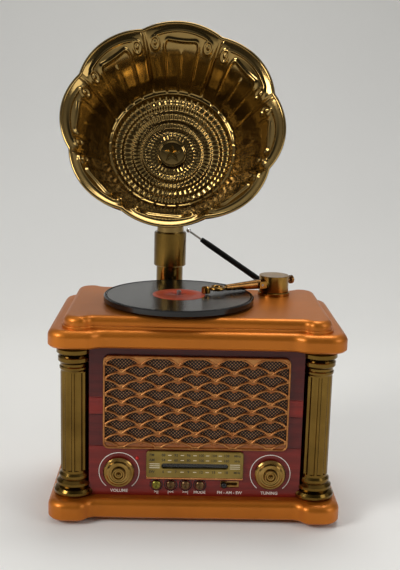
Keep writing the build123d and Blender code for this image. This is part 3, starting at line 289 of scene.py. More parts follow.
# Horn: the plane of its rim, seen along its axis
RIM_CENTRE = Vector((-23.78, 2.55, 326.07)) * MM
HORN_RIGHT = Vector((cos(radians(1.2)), sin(radians(1.2)), 0))
HORN_OUT = Vector((0.0185, -0.8836, 0.4679)).normalized()
HORN_UP = HORN_OUT.cross(HORN_RIGHT).normalized()
HORN_PLACE = Matrix((
    (HORN_RIGHT.x, HORN_UP.x, HORN_OUT.x, RIM_CENTRE.x),
    (HORN_RIGHT.y, HORN_UP.y, HORN_OUT.y, RIM_CENTRE.y),
    (HORN_RIGHT.z, HORN_UP.z, HORN_OUT.z, RIM_CENTRE.z),
    (0, 0, 0, 1)))
FIRST_CUSP = radians(107.7)
PETAL = radians(45)
PETAL_ARC_CENTRE = 36.99
PETAL_ARC_RADIUS = 56.91
ARCH_END = 81.0
ARCH_CORNER = 5.0
BELL_CURVE = [
    (12.5, 66.3), (19.0, 66.0), (30.0, 64.8), (43.0, 61.5), (55.0, 53.5),
    (63.5, 38.0), (73.0, 20.5), (83.5, 6.0), (94.9, -1.3)]


def across_petal(angle):
    """Angle from the middle line of the petal that an angle falls in."""
    return (angle - FIRST_CUSP) % PETAL - PETAL / 2


def petal_edge(angle):
    """Radius of the petals' outer edge at an angle."""
    off = across_petal(angle)
    return PETAL_ARC_CENTRE * cos(off) + sqrt(PETAL_ARC_RADIUS**2 - (PETAL_ARC_CENTRE * sin(off)) ** 2)


def bell_slope(number):
    """Slope of the bell's curve at one of its points."""
    before = BELL_CURVE[max(number - 1, 0)]
    after = BELL_CURVE[min(number + 1, len(BELL_CURVE) - 1)]
    return (after[1] - before[1]) / (after[0] - before[0])


def bell_depth(radius):
    """Depth of the bell's inner face behind the rim."""
    last = len(BELL_CURVE) - 2
    number = min(sum(radius > point[0] for point in BELL_CURVE[1:]), last)
    (r0, d0), (r1, d1) = BELL_CURVE[number], BELL_CURVE[number + 1]
    run = r1 - r0
    t = (radius - r0) / run
    return (
        (2 * t**3 - 3 * t**2 + 1) * d0 + (t**3 - 2 * t**2 + t) * run * bell_slope(number)
        + (3 * t**2 - 2 * t**3) * d1 + (t**3 - t**2) * run * bell_slope(number + 1))


def ridge(distance, width):
    """Rounded ridge across a distance from its line."""
    return exp(-((distance / width) ** 2))


def ramp(value, low, high):
    """Smooth step from 0 at low to 1 at high."""
    t = min(max((value - low) / (high - low), 0.0), 1.0)
    return t * t * (3 - 2 * t)


def petal_ornament(radius, angle):
    """Height of the pressed ornament over the plain bell, in parts of its depth."""
    off = across_petal(angle)
    side = abs(radius * sin(off))
    reach = radius * cos(off)
    from_edge = petal_edge(angle) - radius
    to_cusp = radius * sin(PETAL / 2 - abs(off))
    petals = ramp(radius, 54, 60)
    throat = ramp(radius, 22, 25) * (1 - ramp(radius, 50, 53))
    height = 0.5 * cos(2 * off / PETAL * pi / 2) * ramp(radius, 58, 82)
    height -= 1.6 * ridge(to_cusp, 1.3) * petals
    height += 1.0 * ridge(from_edge - 7.0, 0.9) * (1 - ramp(abs(off), 0.27, 0.30))
    scroll_off = 0.292
    scroll_radius = petal_edge(FIRST_CUSP + PETAL / 2 + scroll_off) - 11.0
    to_scroll = hypot(side - scroll_radius * sin(scroll_off), reach - scroll_radius * cos(scroll_off))
    height += 1.0 * ridge(to_scroll - 3.4, 0.8) + 1.2 * ridge(to_scroll, 1.2)
    past_side = side - (9.0 + 0.2258 * (reach - 50.0)) + ARCH_CORNER
    past_end = reach - ARCH_END + ARCH_CORNER
    to_arch = hypot(max(past_side, 0), max(past_end, 0)) + min(max(past_side, past_end), 0) - ARCH_CORNER
    height += 1.1 * ridge(to_arch, 0.9) * ramp(reach, 53, 56)
    height += 0.9 * ridge(side, 0.8) * ramp(reach, 54, 57) * (1 - ramp(reach, 74, 77))
    height += 1.0 * ridge(radius - 54.0, 1.1)
    height += 0.42 * cos(56 * angle) * throat + 0.55 * cos(2 * pi * (radius - 21.0) / 8.2) * throat
    height += 1.0 * ridge(radius - 21.0, 1.2) * (0.6 + 0.4 * cos(40 * angle))
    height += 0.3 * cos(32 * angle) * ramp(radius, 14, 15.5) * (1 - ramp(radius, 18, 19.5))
    return height


# Finishes

# Height where each plank begins and its tone against the stain, which darkens by plank
PLANK_SPAN = 160.0
PLANK_TONES = ((0, "#E8D4CC"), (63.0, "#B49A98"), (90.0, "#FFECE4"), (104.5, "#A08C90"))


def gold_plating(colours):
    """Electroplated antique gold: mirror-like with soft tarnish patches that dull the gloss."""
    return mottled(
        "antique_gold_plating", tinted(colours.gold, 0.9), tinted(colours.gold, 1.04), 30.0,
        (0.11, 0.15), 1.6, 0.003, Metallic=1.0)


def copper_lacquer(colours):
    """Metallic copper lacquer on board: fine flake, satin, with a thin clear coat."""
    material, tree, shader = new_finish(
        "copper_lacquer", Metallic=0.85, Coat_Weight=0.2, Coat_Roughness=0.25)
    coords = object_coords(tree)
    drift = noise(tree, coords, 60.0)
    flake = noise(tree, coords, 0.9, 1.0)
    base = blend_colours(tree, ranged(tree, drift, 0, 1), tinted(colours.copper, 0.86),
        tinted(colours.copper, 1.05))
    spark = add_node(
        tree, "ShaderNodeMix", data_type="RGBA", blend_type="MULTIPLY",
        values=[(0, 0.35)],
            links=[(6, base), (7, blend_colours(tree, flake, rgba("#B9B9B9"), rgba("#FFFFFF")))])
    tree.links.new(spark.outputs[2], shader.inputs["Base Color"])
    tree.links.new(ranged(tree, flake, 0.40, 0.50), shader.inputs["Roughness"])
    relief(tree, shader, flake, 0.012)
    return material


def mahogany_veneer(colours):
    """Mahogany veneer under satin lacquer: long grain along X, dark pores, reddish drift."""
    material, tree, shader = new_finish(
        "mahogany_veneer", Coat_Weight=0.2, Coat_Roughness=0.12, Specular_IOR_Level=0.3)
    coords = object_coords(tree, (0.12, 1, 1))
    lines = stripes(tree, coords, 9.0, "BANDS", "Z", 5.0)
    pores = noise(tree, object_coords(tree, (0.06, 1, 1)), 1.3, 4.0)
    height = add_node(tree, "ShaderNodeSeparateXYZ", links=[("Vector", object_coords(tree))]).outputs[2]
    tones = add_node(
        tree, "ShaderNodeValToRGB", links=[(0, ranged(tree, height, 0, 1, 0, PLANK_SPAN * MM))])
    tones.color_ramp.interpolation = "CONSTANT"
    for number, (bottom, tone) in enumerate(PLANK_TONES):
        stops = tones.color_ramp.elements
        stop = stops[0] if number == 0 else stops.new(bottom / PLANK_SPAN)
        stop.color = rgba(tone)
    stops[len(stops) - 1].color = rgba(PLANK_TONES[-1][1])
    grain = blend_colours(tree, lines, tinted(colours.wood, 0.86), tinted(colours.wood, 1.08))
    base = add_node(
        tree, "ShaderNodeMix", data_type="RGBA", blend_type="MULTIPLY", values=[(0, 1.0)],
        links=[(6, grain), (7, tones.outputs[0])]).outputs[2]
    veined = add_node(
        tree, "ShaderNodeMix", data_type="RGBA", blend_type="MULTIPLY", values=[(0, 0.4)],
        links=[(6, base),
            (7, blend_colours(tree, ranged(tree, pores, 0, 1), rgba("#A88880"), rgba("#FFFFFF")))])
    tree.links.new(veined.outputs[2], shader.inputs["Base Color"])
    tree.links.new(ranged(tree, pores, 0.42, 0.30), shader.inputs["Roughness"])
    relief(tree, shader, pores, 0.02)
    return material


def grooved_black(name, spacing, depth, rough, low, high, **sockets):
    """Black disc turned or pressed with fine rings round the spindle."""
    material, tree, shader = new_finish(name, **sockets)
    centre = (DISC_CENTRE[0] * MM, DISC_CENTRE[1] * MM, 0)
    coords = object_coords(tree, (1, 1, 1), centre)
    rings = stripes(tree, coords, spacing, "RINGS", "Z")
    tree.links.new(blend_colours(tree, rings, low, high), shader.inputs["Base Color"])
    tree.links.new(ranged(tree, noise(tree, coords, 20.0), *rough), shader.inputs["Roughness"])
    relief(tree, shader, rings, depth)
    return material


def label_paper(colours):
    """Printed paper label: plain orange red with a soft fibre."""
    return mottled(
        "label_paper", tinted(colours.label, 0.9), tinted(colours.label, 1.06), 7.0, (0.4, 0.52), 0.8, 0.02)


def speaker_cloth():
    """Woven speaker cloth: dark brown thread, with pale knots drawn 2 mm apart so that they show."""
    material, tree, shader = new_finish("speaker_cloth", Roughness=0.85, Sheen_Weight=0.1)
    coords = object_coords(tree)
    turned = add_node(
        tree, "ShaderNodeMapping", values=[("Rotation", (0, radians(45), 0))],
            links=[("Vector", coords)]).outputs[0]
    warp = stripes(tree, turned, 2.0, "BANDS", "X")
    weft = stripes(tree, turned, 2.0, "BANDS", "Z")
    knots = add_node(tree, "ShaderNodeMath", operation="MULTIPLY", links=[(0, warp), (1, weft)]).outputs[0]
    tree.links.new(
        blend_colours(tree, ranged(tree, knots, 0, 1, 0.15, 0.7), rgba("#0D0805"), rgba("#9E7046")),
        shader.inputs["Base Color"])
    relief(tree, shader, knots, 0.25)
    return material


def clear_acrylic():
    """Clear acrylic window: slightly smoked, with a faint moulding ripple."""
    material, tree, shader = new_finish("clear_acrylic", Transmission_Weight=0.9, IOR=1.49)
    coords = object_coords(tree)
    drift = noise(tree, coords, 12.0)
    tree.links.new(blend_colours(tree, drift, rgba("#4A463A"), rgba("#5E594A")),
        shader.inputs["Base Color"])
    tree.links.new(ranged(tree, drift, 0.03, 0.09), shader.inputs["Roughness"])
    relief(tree, shader, drift, 0.02)
    return material


def build_finishes():
    """All the materials, by a short name."""
    colours = bpy.context.scene.gramophone_colours
    metal = {"Metallic": 1.0}
    made = {
        "gold": gold_plating(colours),
        # Gold plated mouldings of the columns and the horn's post: darker and more olive than the bell
        "column": mottled(
            "gold_plated_moulding", rgba("#604920"), rgba("#7E622E"), 30.0, (0.14, 0.20), 1.2, 0.006,
                **metal),
        "copper": copper_lacquer(colours),
        "wood": mahogany_veneer(colours),
        "label": label_paper(colours),
        "cloth": speaker_cloth(),
        "acrylic": clear_acrylic(),
        # Painted platter: matt black with the turning marks of its aluminium
        "platter": grooved_black(
            "black_painted_platter", 1.6, 0.02, (0.16, 0.22), rgba("#0A0A0A"), rgba("#151515")),
        # Pressed vinyl: glossy black with a groove band, drawn 1.1 mm apart so that it shows
        "vinyl": grooved_black(
            "pressed_vinyl", 1.1, 0.04, (0.17, 0.21), rgba("#070707"), rgba("#121111")),
        # Copper gold plating on the moulded grille and its ribs, in uneven patches
        "grille": mottled(
            "copper_gold_plating", rgba("#A4683A"), rgba("#CC9258"), 8.0, (0.36, 0.46), 1.0, 0.02, **metal),
        # Amber lacquer in the grille's lozenges and its bottom row
        "orange": mottled(
            "amber_lacquer", rgba("#8E4E16"), rgba("#A8601E"), 10.0, (0.3, 0.42), 1.0, 0.02),
        # Olive gold print on the pressed dial plate, a little uneven
        "dial": mottled(
            "olive_gold_dial", rgba("#766024"), rgba("#9A823C"), 22.0, (0.34, 0.44), 0.7, 0.02,
                Metallic=0.5),
        # Bare copper edge of the dial plate
        "lip": mottled(
            "polished_copper", rgba("#B9743F"), rgba("#E0A068"), 9.0, (0.2, 0.3), 0.8, 0.01, **metal),
        # Dark olive ink of the numbers
        "ink": mottled("dark_olive_ink", rgba("#241E0C"), rgba("#332B14"), 4.0, (0.45, 0.6), 0.5, 0.005),
        # Cream pad printing
        "cream": mottled("cream_pad_print", rgba("#E9DFC0"), rgba("#F7F0D8"), 4.0, (0.45, 0.6), 0.5, 0.005),
        # White pad printing on the wood
        "white": mottled("white_pad_print", rgba("#DAD2C6"), rgba("#F2EDE4"), 4.0, (0.45, 0.6), 0.5, 0.005),
        # Gold plated knobs, finely turned
        "knob": mottled("turned_gold_knob", rgba("#76592A"), rgba("#A5844A"), 12.0, (0.16, 0.24), 0.6,
            0.012, **metal),
        # Bronze plated button caps
        "button": mottled("bronze_plated_cap", rgba("#4E3A26"), rgba("#7A5E40"), 3.0, (0.24, 0.38),
            0.6, 0.015, **metal),
        # The first cap has an olive gold tint
        "olive": mottled("olive_gold_cap", rgba("#6A6226"), rgba("#948A40"), 3.0, (0.24, 0.38), 0.6,
            0.015, **metal),
        # Glossy black ABS
        "gloss_black": mottled("glossy_black_abs", rgba("#070707"), rgba("#111111"), 3.0, (0.10, 0.18),
            0.6, 0.005),
        # Brass coloured moulding
        "brass": mottled("brass_coloured_moulding", rgba("#8C6532"), rgba("#BE9450"), 4.0, (0.3, 0.42),
            0.6, 0.02, Metallic=0.8),
        # Red translucent lamp lens
        "lamp": mottled(
            "red_lamp_lens", rgba("#C4100A"), rgba("#F02A1A"), 2.0, (0.12, 0.2), 0.6, 0.01,
            Transmission_Weight=0.2),
        "pointer": mottled("red_moulded_pointer", rgba("#B81C10"), rgba("#DC3220"), 3.0, (0.4, 0.5),
            0.5, 0.01),
        # Moulded black ABS of hidden parts, with a fine spark texture
        "black": mottled("black_textured_abs", rgba("#101010"), rgba("#1D1D1D"), 6.0, (0.5, 0.65), 0.8,
            0.05),
        # Zinc plated steel of screws, shafts and rails
        "steel": mottled("zinc_plated_steel", rgba("#8F9092"), rgba("#C3C4C6"), 4.0, (0.28, 0.42), 0.7,
            0.02, **metal),
        # Fibre board back panel with a dark stain
        "board": mottled(
            "stained_fibre_board", rgba("#2A160E"), rgba("#4A2A1B"), 7.0, (0.6, 0.75), 0.9, 0.06,
                (0.3, 1, 1)),
        "circuit": mottled("circuit_board_resist", rgba("#0D4A24"), rgba("#1C7A3C"), 3.0, (0.35, 0.5),
            0.8, 0.05),
        # Soft rubber
        "rubber": mottled("soft_black_rubber", rgba("#0E0E0E"), rgba("#1A1918"), 5.0, (0.75, 0.9), 0.7,
            0.08),
        # Pressed paper pulp
        "pulp": mottled("pressed_paper_pulp", rgba("#121110"), rgba("#262320"), 3.0, (0.85, 0.95), 0.9,
            0.1),
        # Bronze plated arm tube, drawn along its length
        "bronze": mottled("bronze_plated_tube", rgba("#6E4A26"), rgba("#9E7240"), 8.0, (0.18, 0.3),
            0.8, 0.01, **metal),
        "arm_gold": mottled("gold_plated_casting", rgba("#8A642C"), rgba("#B98E48"), 12.0,
            (0.14, 0.26), 0.9, 0.012, **metal),
        # Polished gold plating on the star, made much lighter than the bell's plating: a painted highlight
        "star": mottled("gold_plating_painted_highlight", rgba("#CDA556"), rgba("#F0D08A"), 5.0, (0.1, 0.16),
            0.6, 0.006, **metal),
        # Chrome of the aerial's sections
        "chrome": mottled("polished_chrome", rgba("#B9BABC"), rgba("#E6E7E9"), 8.0, (0.06, 0.14), 1.0,
            0.004, **metal),
        # Black anodised outer tube of the aerial
        "anodised": mottled(
            "black_anodised_aluminium", rgba("#101010"), rgba("#222120"), 6.0, (0.26, 0.38), 0.6, 0.01,
                Metallic=0.7),
    }
    return made


NODE_FINISHES = {
    "copper": ["base_slab", "top_slab_lower", "top_slab_upper"],
    "rubber": ["rubber_feet"],
    "wood": ["side_panel_left", "side_panel_right", "front_panel"],
    "board": ["back_panel"],
    "column": ["column_front_left", "column_front_right", "column_back_left", "column_back_right",
        "horn_bracket",
               "horn_post", "horn_collar"],
    "grille": ["grille"],
    "cloth": ["grille_mesh"],
    "black": ["speaker_frame_left", "speaker_frame_right", "volume_control", "tuning_control",
              "button_contacts", "power_socket"],
    "pulp": ["speaker_cone_left", "speaker_cone_right"],
    "steel": ["speaker_screws", "case_screws", "pointer_rail", "platter_motor", "platter_shaft",
              "tonearm_nut", "tonearm_pin"],
    "dial": ["dial_plate"],
    "acrylic": ["dial_window"],
    "pointer": ["dial_pointer"],
    "knob": ["volume_knob", "tuning_knob"],
    "olive": ["play_button"],
    "button": ["previous_button", "next_button", "mode_button"],
    "brass": ["band_switch_body"],
    "gloss_black": ["band_switch_knob"],
    "lamp": ["power_lamp"],
    "circuit": ["control_board"],
    "platter": ["platter"],
    "vinyl": ["record"],
    "arm_gold": ["tonearm_base", "tonearm_turret", "headshell"],
    "bronze": ["counterweight", "tonearm_tube"],
    "gold": ["horn_elbow", "horn_bell", "horn_boss"],
    "chrome": ["aerial_base", "aerial_knuckle", "aerial_section", "aerial_rod"],
    "anodised": ["aerial_tube"],
}

finishes = {}


class GRAMOPHONE_OT_finishes(bpy.types.Operator):
    """Make the materials and give each piece of the frame its own"""

    bl_idname = "gramophone.finishes"
    bl_label = "Finishes"

    def execute(self, context):
        finishes.update(build_finishes())
        for finish, nodes in NODE_FINISHES.items():
            for node in nodes:
                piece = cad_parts[node]
                if not piece.material_slots:
                    piece.data.materials.append(finishes[finish])
                for slot in piece.material_slots:
                    slot.material = finishes[finish]
        return {"FINISHED"}


class GRAMOPHONE_OT_horn_bell(bpy.types.Operator):
    """Model the bell with its eight embossed petals"""

    bl_idname = "gramophone.horn_bell"
    bl_label = "Horn bell"

    def execute(self, context):
        sizes = context.scene.gramophone_sizes
        outer = 92.0
        inner = BELL_CURVE[0][0]
        fine = [inner + (54.0 - inner) * step / 46 for step in range(46)]
        fine += [54.0 + (outer - 54.0) * step / 84 for step in range(85)]
        coarse = [inner + (outer - inner) * step / 40 for step in range(41)]
        for name, radii, steps, emboss, wall in (
                ("bell_petals", fine, 720, sizes.emboss_depth / MM, 0.0),
                ("bell_back", coarse, 224, 0.0, sizes.horn_wall / MM)):
            bm = bmesh.new()
            verts = [bm.verts.new((r * MM, 0, 0)) for r in radii]
            edges = [bm.edges.new(pair) for pair in zip(verts, verts[1:])]
            bmesh.ops.spin(
                bm, geom=verts + edges, cent=(0, 0, 0), axis=(0, 0, 1), angle=2 * pi,
                steps=steps, use_merge=True)
            bmesh.ops.remove_doubles(bm, verts=bm.verts, dist=1e-6)
            for vert in bm.verts:
                angle = atan2(vert.co.y, vert.co.x)
                plain = hypot(vert.co.x, vert.co.y) / MM
                radius = inner + (plain - inner) * (petal_edge(angle) - 1.4 - inner) / (outer - inner)
                slope = (bell_depth(radius + 0.1) - bell_depth(radius - 0.1)) / 0.2
                lift = petal_ornament(radius, angle) * emboss - wall
                length = hypot(1, slope)
                shifted = radius + lift * slope / length
                vert.co = Vector((
                    shifted * cos(angle) * MM, shifted * sin(angle) * MM,
                    (lift / length - bell_depth(radius)) * MM))
            bm.normal_update()
            facing_out = sum(face.normal.z for face in bm.faces) > 0
            if facing_out != (wall == 0):
                bmesh.ops.reverse_faces(bm, faces=bm.faces)
            bmesh.ops.transform(bm, matrix=HORN_PLACE, verts=bm.verts)
            add_piece(name, bm, finishes["gold"], "horn", True, ["horn_bell"])

        bead = sizes.rim_bead / MM
        bm = bmesh.new()
        ring = [
            (outer + bead * cos(2 * pi * step / 12), bead * sin(2 * pi * step / 12))
            for step in range(12)]
        turned_mesh(bm, ring, 360, Matrix.Identity(4))
        for vert in bm.verts:
            angle = atan2(vert.co.y, vert.co.x)
            shift = (petal_edge(angle) - bead - outer) * MM
            vert.co += Vector((cos(angle), sin(angle), 0)) * shift
        bmesh.ops.transform(bm, matrix=HORN_PLACE, verts=bm.verts)
        add_piece("bell_rim", bm, finishes["gold"], "horn", True, ["horn_bell"])

        bm = bmesh.new()
        neck = [(12.4, -71.9), (13.6, -71.9), (14.3, -71.2), (14.3, -68.5), (16.5, -67.0), (12.4, -66.6)]
        turned_mesh(bm, neck, 64, HORN_PLACE)
        add_piece("bell_neck", bm, finishes["gold"], "horn", True, ["horn_bell"])
        return {"FINISHED"}


class GRAMOPHONE_OT_throat_star(bpy.types.Operator):
    """Model the boss at the throat with its raised star"""

    bl_idname = "gramophone.throat_star"
    bl_label = "Throat star"

    def execute(self, context):
        seat = HORN_PLACE @ Matrix.Translation((0, 0, -66 * MM))
        outline = [
            (0, -5), (10.4, -5), (10.4, 0.1), (13.2, 0.1), (13.3, 1.6), (12.9, 2.3), (12.3, 2.6),
            (11.6, 2.3), (11.2, 1.6), (10.4, 1.3), (0, 1.5)]
        bm = bmesh.new()
        turned_mesh(bm, outline, 72, seat)
        add_piece("boss_ring", bm, finishes["gold"], "horn", True, ["horn_boss"])
        bm = bmesh.new()
        circle = bmesh.ops.create_circle(bm, segments=10, radius=9.4 * MM, cap_ends=True)
        for number, vert in enumerate(circle["verts"]):
            angle = atan2(vert.co.y, vert.co.x)
            share = 1.0 if round((angle - radians(90)) / radians(36)) % 2 == 0 else 0.44
            vert.co = Vector((vert.co.x * share, vert.co.y * share, 1.8 * MM))
        poked = bmesh.ops.poke(bm, faces=bm.faces)
        for vert in poked["verts"]:
            vert.co.z = 3.4 * MM
        bmesh.ops.extrude_edge_only(bm, edges=[e for e in bm.edges if e.is_boundary])
        for vert in bm.verts:
            if all(len(f.verts) == 4 for f in vert.link_faces) and vert.co.z < 2 * MM:
                vert.co.z -= 0.8 * MM
        bmesh.ops.recalc_face_normals(bm, faces=bm.faces)
        bmesh.ops.transform(bm, matrix=seat, verts=bm.verts)
        add_piece("boss_star", bm, finishes["star"], "horn", False, ["horn_boss"])
        return {"FINISHED"}


FAN_PITCH = 30.4
FAN_RISE = 6.9
FAN_ROW = 6.54
FAN_ROWS = 13


def fan_rows():
    """Middle and top of each fan of the grille, in millimetres from its centre."""
    for row in range(FAN_ROWS):
        shift = FAN_PITCH / 2 * (row % 2)
        top = 39.6 - FAN_ROW * row - 0.8
        for column in range(-2, 4 + row % 2):
            yield FAN_PITCH * column - shift, top


class GRAMOPHONE_OT_grille_ribs(bpy.types.Operator):
    """Round the fan ribs and the border of the grille"""

    bl_idname = "gramophone.grille_ribs"
    bl_label = "Grille ribs"

    def execute(self, context):
        rib = context.scene.gramophone_sizes.rib_radius
        centre_x = (GRILLE_LOW[0] + GRILLE_HIGH[0]) / 2
        centre_z = (GRILLE_LOW[2] + GRILLE_HIGH[2]) / 2
        half_x = (GRILLE_HIGH[0] - GRILLE_LOW[0]) / 2 - 1.2
        half_z = (GRILLE_HIGH[2] - GRILLE_LOW[2]) / 2 - 1.2
        front = GRILLE_LOW[1]
        radius = ((FAN_PITCH / 2) ** 2 + FAN_RISE**2) / (2 * FAN_RISE)
        half_turn = atan2(FAN_PITCH / 2, radius - FAN_RISE)
        curve = bpy.data.curves.new("fan_ribs", "CURVE")
        curve.dimensions = "3D"
        curve.bevel_depth = rib
        curve.bevel_resolution = 1
        for middle, top in fan_rows():
            run = []
            for step in range(13):
                turn = -half_turn + 2 * half_turn * step / 12
                x = middle + radius * sin(turn)
                z = top - radius + radius * cos(turn)
                if abs(x) <= half_x and abs(z) <= half_z:
                    run.append((x, z))
            if len(run) > 1:
                spline = curve.splines.new("POLY")
                spline.points.add(len(run) - 1)
                for point, (x, z) in zip(spline.points, run):
                    point.co = ((centre_x + x) * MM, front * MM, (centre_z + z) * MM, 1)
        border = curve.splines.new("POLY")
        corners = []
        corner = 4.0
        for sx, sz, start in ((1, 1, 0), (-1, 1, 90), (-1, -1, 180), (1, -1, 270)):
            for step in range(5):
                turn = radians(start + 22.5 * step)
                corners.append((
                    centre_x + sx * (half_x - corner + 0.4) + corner * cos(turn),
                    centre_z + sz * (half_z - corner + 0.4) + corner * sin(turn)))
        border.points.add(len(corners) - 1)
        for point, (x, z) in zip(border.points, corners):
            point.co = (x * MM, front * MM, z * MM, 1)
        border.use_cyclic_u = True
        holder = bpy.data.objects.new("fan_ribs", curve)
        bpy.context.scene.collection.objects.link(holder)
        bpy.context.view_layer.update()
        mesh = bpy.data.meshes.new_from_object(
            holder.evaluated_get(bpy.context.evaluated_depsgraph_get()))
        bm = bmesh.new()
        bm.from_mesh(mesh)
        bpy.data.objects.remove(holder)
        bpy.data.curves.remove(curve)
        bpy.data.meshes.remove(mesh)
        add_piece("grille_ribs", bm, finishes["grille"], "cabinet")

        bm = bmesh.new()
        for middle, top in fan_rows():
            for side in (-1, 1):
                x = middle + side * FAN_PITCH / 2
                z = top - FAN_RISE
                if side == 1 and abs(x) < half_x - 1 and abs(z) < half_z - 1:
                    bmesh.ops.create_cone(
                        bm, cap_ends=True, segments=4, radius1=1.0 * MM, radius2=0.7 * MM, depth=0.7 * MM,
                        matrix=facing_front(centre_x + x, front + 0.3, centre_z + z)
                        @ Matrix.Diagonal((6.2, 2.7, 1, 1)))
        add_piece("grille_lozenges", bm, finishes["orange"], "cabinet", False)

        bm = bmesh.new()
        slab_at(
            bm, (centre_x - half_x, front + 0.7, GRILLE_LOW[2] + 1.2),
            (centre_x + half_x, front + 1.4, GRILLE_LOW[2] + 5.4))
        bmesh.ops.bevel(
            bm, geom=bm.edges, offset=0.2 * MM, segments=1, profile=0.5, affect="EDGES", material=-1)
        add_piece("grille_bottom_row", bm, finishes["orange"], "cabinet", False)
        return {"FINISHED"}


class GRAMOPHONE_OT_dial_print(bpy.types.Operator):
    """Print the dial's scales, and the rings and words on the front panel"""

    bl_idname = "gramophone.dial_print"
    bl_label = "Dial and panel print"

    def execute(self, context):
        sizes = context.scene.gramophone_sizes
        thin = sizes.print_depth
        face = DIAL_FRONT - thin / MM / 2 + 0.01
        dashes = bmesh.new()
        numerals = bmesh.new()
        rows = (
            (56.3, "FM", "MHz", ("88", "92", "96", "100", "104", "108")),
            (51.9, "AM", "kHz", ("54", "60", "80", "100", "130", "160")),
            (41.7, "SW", "MHz", ("6", "7", "9", "12", "15", "18")),
        )
        for z, band, unit, numbers in rows:
            add_words(numerals, band, -35.5, face, z, 3.2, thin)
            add_words(numerals, unit, 35.0, face, z, 2.8, thin)
            for place, number in enumerate(numbers):
                add_words(numerals, number, -26 + 10.4 * place, face, z, 3.2, thin)
                if place:
                    x = -26 + 10.4 * (place - 0.5)
                    slab_at(dashes, (x - 1.4, face - 0.02, z - 0.25), (x + 1.4, face + 0.02, z + 0.25))
        for z in (45.2, 46.9, 48.6):
            for x in (-33.2, 33.2):
                slab_at(dashes, (x - 4.2, face - 0.02, z - 0.22), (x + 4.2, face + 0.02, z + 0.22))
        add_piece("dial_print", dashes, finishes["cream"], "cabinet", False)
        add_piece("dial_numerals", numerals, finishes["ink"], "cabinet", False)

        bm = bmesh.new()
        slab_at(bm, (-40.0, DIAL_FRONT - 0.25, 35.3), (40.0, DIAL_FRONT + 1.2, 37.0))
        bmesh.ops.bevel(
            bm, geom=bm.edges, offset=0.45 * MM, segments=2, profile=0.5, affect="EDGES", material=-1)
        add_piece("dial_lip", bm, finishes["lip"], "cabinet")

        face = PANEL_FRONT - thin / MM / 2 + 0.01
        bm = bmesh.new()
        radius = sizes.knob_ring_radius / MM
        for knob_x in KNOB_PLACES:
            before = len(bm.verts)
            profile = [
                bm.verts.new(((radius + dr) * MM, 0, dz * MM))
                for dr, dz in ((-0.3, 0), (0.3, 0), (0.3, 0.05), (-0.3, 0.05))]
            quad = bm.faces.new(profile)
            bmesh.ops.spin(
                bm, geom=[quad], cent=(0, 0, 0), axis=(0, 0, 1), angle=radians(280), steps=56)
            bm.verts.ensure_lookup_table()
            fresh = bm.verts[before:]
            place = facing_front(knob_x, face, KNOB_HEIGHT) @ Matrix.Rotation(radians(-50), 4, "Z")
            bmesh.ops.transform(bm, matrix=place, verts=fresh)
        bmesh.ops.recalc_face_normals(bm, faces=bm.faces)
        add_words(bm, "VOLUME", -62.5, face, 23.6, 3.7, thin)
        add_words(bm, "TUNING", 62.6, face, 23.2, 3.7, thin)
        for x, words in BUTTON_WORDS:
            add_words(bm, words, x, face, 23.1, 3.5, thin)
        add_words(bm, "FM - AM - SW", 29.4, face, 23.1, 3.5, thin)
        add_piece("panel_print", bm, finishes["white"], "cabinet", False)

        # Black rings round the button caps: painted shade of the gap round each cap, laid as a thin black
        # ring
        for button in ("play_button", "previous_button", "next_button", "mode_button"):
            low, high = node_box(button)
            inner = (high[0] - low[0]) / 2 + 0.3
            bm = bmesh.new()
            turned_mesh(
                bm, [(inner, -0.05), (inner + 0.75, -0.05), (inner + 0.65, 0.3), (inner + 0.1, 0.3)], 40,
                facing_front((low[0] + high[0]) / 2, PANEL_FRONT, (low[2] + high[2]) / 2))
            add_piece(
                button.replace("button", "gap_shade_ring"), bm, finishes["gloss_black"], "cabinet")
        return {"FINISHED"}


class GRAMOPHONE_OT_record_label(bpy.types.Operator):
    """Lay the paper label on the record and bevel the platter's black rim"""

    bl_idname = "gramophone.record_label"
    bl_label = "Record label"

    def execute(self, context):
        radius = context.scene.gramophone_sizes.label_radius / MM
        place = Matrix.Translation((DISC_CENTRE[0] * MM, DISC_CENTRE[1] * MM, RECORD_TOP * MM))
        bm = bmesh.new()
        turned_mesh(bm, [(2.1, 0.0), (radius, 0.0), (radius, 0.1), (radius - 0.3, 0.16), (2.1, 0.16)],
            96, place)
        add_piece("record_label", bm, finishes["label"], "turntable")
        top = node_box("platter")[1][2] - RECORD_TOP
        bm = bmesh.new()
        turned_mesh(
            bm, [(62.0, top - 0.6), (63.2, top - 0.6), (63.2, top - 0.1), (62.9, top), (62.3, top),
                (62.0, top - 0.1)],
            128, place)
        add_piece("platter_rim", bm, finishes["platter"], "turntable")
        return {"FINISHED"}


